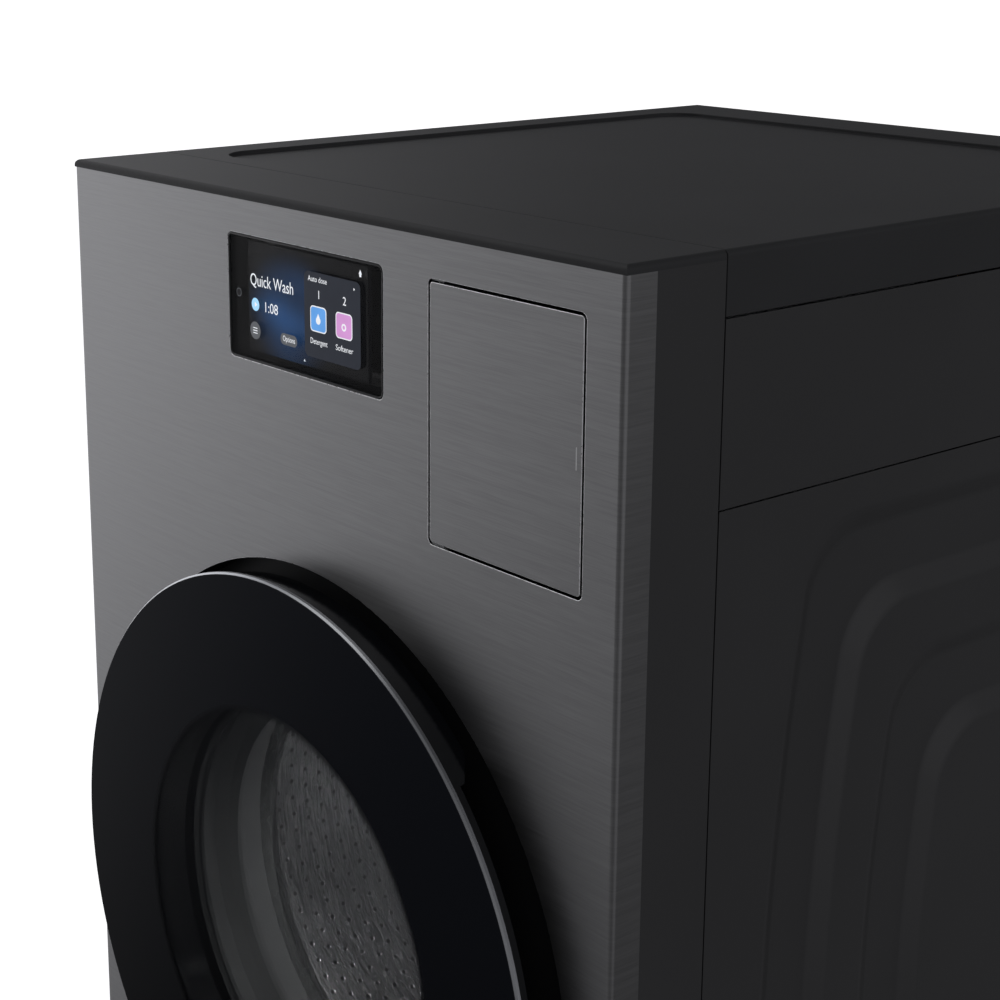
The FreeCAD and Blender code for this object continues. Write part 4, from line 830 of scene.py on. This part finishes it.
    def words(self, name, text, x, z, height, material, width=0.0, layer=1):
        """Words from x rightward on the line z; a width squeezes or stretches them to fit."""
        bpy.ops.object.text_add()
        writing = bpy.context.object
        writing.data.body = text
        writing.data.size = height * MM / 0.7
        writing.data.extrude = self.look.thickness / 2
        writing.data.resolution_u = 4
        bpy.ops.object.convert(target="MESH")
        piece = bpy.context.object
        bpy.ops.object.mode_set(mode="EDIT")
        bpy.ops.mesh.select_all(action="SELECT")
        bpy.ops.mesh.remove_doubles(threshold=0.000001)
        bpy.ops.mesh.normals_make_consistent(inside=False)
        bpy.ops.object.mode_set(mode="OBJECT")
        if width:
            piece.scale = (width * MM / piece.dimensions.x, 1.0, 1.0)
        self.lay(name, x, z, material, layer)


class WASHER_OT_push_mark(bpy.types.Operator):
    """Prints the short line that shows where to push the dispenser's door"""

    bl_idname = "washer.push_mark"
    bl_label = "Push mark"

    def execute(self, context):
        skin_low, skin_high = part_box("dispenser_door_skin")
        inset, proud, drop = 0.0051, 0.00002, 0.0008
        bpy.ops.mesh.primitive_cube_add(size=1.0)
        mark = bpy.context.object
        mark.scale = (0.001, 0.0001, 0.0155)
        mark.location = (skin_high.x - inset, FRONT - proud, (skin_low.z + skin_high.z) / 2 - drop)
        paint = Paint("mark_print", Roughness=0.5)
        wear = paint.noise(paint.place()[0], 900.0, 2.0)
        paint.wire("Base Color", paint.shade((0.75, 0.75, 0.76, 1.0), wear.rise(0.2, 0.8, 0.92, 1.05)))
        put_on(paint.material, mark.name)
        finish_piece(mark, "push_mark", "dispenser_door", 30.0)
        return {"FINISHED"}


class WASHER_OT_stage(bpy.types.Operator):
    """Sets the floor, the soft studio light, the lamp in the drum and the camera"""

    bl_idname = "washer.stage"
    bl_label = "Stage"

    def execute(self, context):
        look = context.scene.washer_stage
        self.floor(look)
        self.sky(context, look)
        self.panel("overhead", (-1.2, -1.6, 3.4), (0.0, -0.2, 0.9), (2.0, 2.0), look.overhead_light)
        lamp, aim = (0.0, -0.27, DOOR_Z + 0.2), (0.0, -0.1, DOOR_Z - 0.1)
        self.panel("drum_lamp", lamp, aim, (0.12, 0.04), look.drum_light)
        self.camera(context, look)
        context.scene.view_settings.view_transform = "Standard"
        return {"FINISHED"}

    def floor(self, look):
        bpy.ops.mesh.primitive_plane_add(size=60.0)
        plane = bpy.context.object
        plane.name = "floor"
        paint = Paint("floor_paint", Roughness=0.8, Emission_Strength=look.floor_glow)
        grain = paint.noise(paint.place()[0], 40.0, 3.0)
        paint.wire("Base Color", paint.shade(rgb(look.floor_colour), grain.rise(0.3, 0.7, 0.985, 1.015)))
        paint.shader.inputs["Emission Color"].default_value = rgb(look.floor_colour)
        plane.data.materials.append(paint.material)
        plane.visible_glossy = False
        plane.visible_diffuse = False

    def sky(self, context, look):
        """Near-white to the camera's own rays; else dim, with a glow at the left and a fill at the right."""
        world = bpy.data.worlds.new("studio")
        world.use_nodes = True
        context.scene.world = world
        graph = Graph(world.node_tree)
        _, (x, _, z) = graph.where("Generated")
        glow = (0.0 - x).rise(look.glow_start, look.glow_end, 0.0, look.glow_strength)
        upper_right = x * look.fill_side + z * look.fill_up
        fill = upper_right.rise(look.fill_start, look.fill_end, 0.0, look.fill_strength)
        dim = graph.shade(rgb(look.sky_colour), glow + fill + 1.0)
        dark = graph.node("ShaderNodeBackground", {}, dim)
        seen = graph.node("ShaderNodeBackground", {}, (0.96, 0.96, 0.96, 1.0))
        direct = Value(graph, graph.add("ShaderNodeLightPath", {}).outputs["Is Camera Ray"])
        choice = graph.node("ShaderNodeMixShader", {}, direct, dark, seen)
        graph.put(graph.tree.nodes["World Output"].inputs["Surface"], choice)

    def panel(self, name, place, aim, size, power):
        light = bpy.data.lights.new(name, "AREA")
        light.shape = "RECTANGLE"
        light.size, light.size_y = size
        light.energy = power
        lamp = bpy.data.objects.new(name, light)
        bpy.context.scene.collection.objects.link(lamp)
        lamp.location = place
        lamp.rotation_euler = (Vector(place) - Vector(aim)).to_track_quat("Z", "Y").to_euler()

    def camera(self, context, look):
        lens = bpy.data.cameras.new("camera")
        lens.sensor_width = 36.0
        lens.lens = look.camera_lens
        lens.shift_x, lens.shift_y = look.camera_shift
        eye = bpy.data.objects.new("camera", lens)
        context.scene.collection.objects.link(eye)
        context.scene.camera = eye
        turn = Matrix.Rotation(look.camera_turn, 4, "Z")
        tilt = Matrix.Rotation(math.pi / 2 - look.camera_drop, 4, "X")
        roll = Matrix.Rotation(look.camera_roll, 4, "Z")
        eye.matrix_world = Matrix.Translation(look.camera_place) @ turn @ tilt @ roll


class WASHER_PT_panel(bpy.types.Panel):
    """Buttons for the washer-dryer's looks"""

    bl_idname = "WASHER_PT_panel"
    bl_label = "Washer-dryer"
    bl_space_type = "VIEW_3D"
    bl_region_type = "UI"
    bl_category = "Washer-dryer"

    def draw(self, context):
        for operator in OPERATORS:
            self.layout.operator(operator.bl_idname)


SETTINGS = {
    "washer_shell": ShellLook,
    "washer_edges": EdgeLook,
    "washer_door": DoorLook,
    "washer_drum": DrumLook,
    "washer_screen": ScreenLook,
    "washer_interface": InterfaceLook,
    "washer_stage": StageLook,
}
OPERATORS = (
    WASHER_OT_shell_finish,
    WASHER_OT_door_finish,
    WASHER_OT_works_finish,
    WASHER_OT_soft_edges,
    WASHER_OT_side_pressings,
    WASHER_OT_interface,
    WASHER_OT_push_mark,
    WASHER_OT_stage,
)


def register():
    for cls in (*SETTINGS.values(), *OPERATORS, WASHER_PT_panel):
        bpy.utils.register_class(cls)
    for name, cls in SETTINGS.items():
        setattr(bpy.types.Scene, name, bpy.props.PointerProperty(type=cls))


def unregister():
    for name in SETTINGS:
        delattr(bpy.types.Scene, name)
    for cls in reversed((*SETTINGS.values(), *OPERATORS, WASHER_PT_panel)):
        bpy.utils.unregister_class(cls)


def main():
    register()
    bpy.ops.object.select_all(action="DESELECT")
    for operator in OPERATORS:
        group, name = operator.bl_idname.split(".")
        getattr(getattr(bpy.ops, group), name)()


if __name__ == "__main__":
    main()
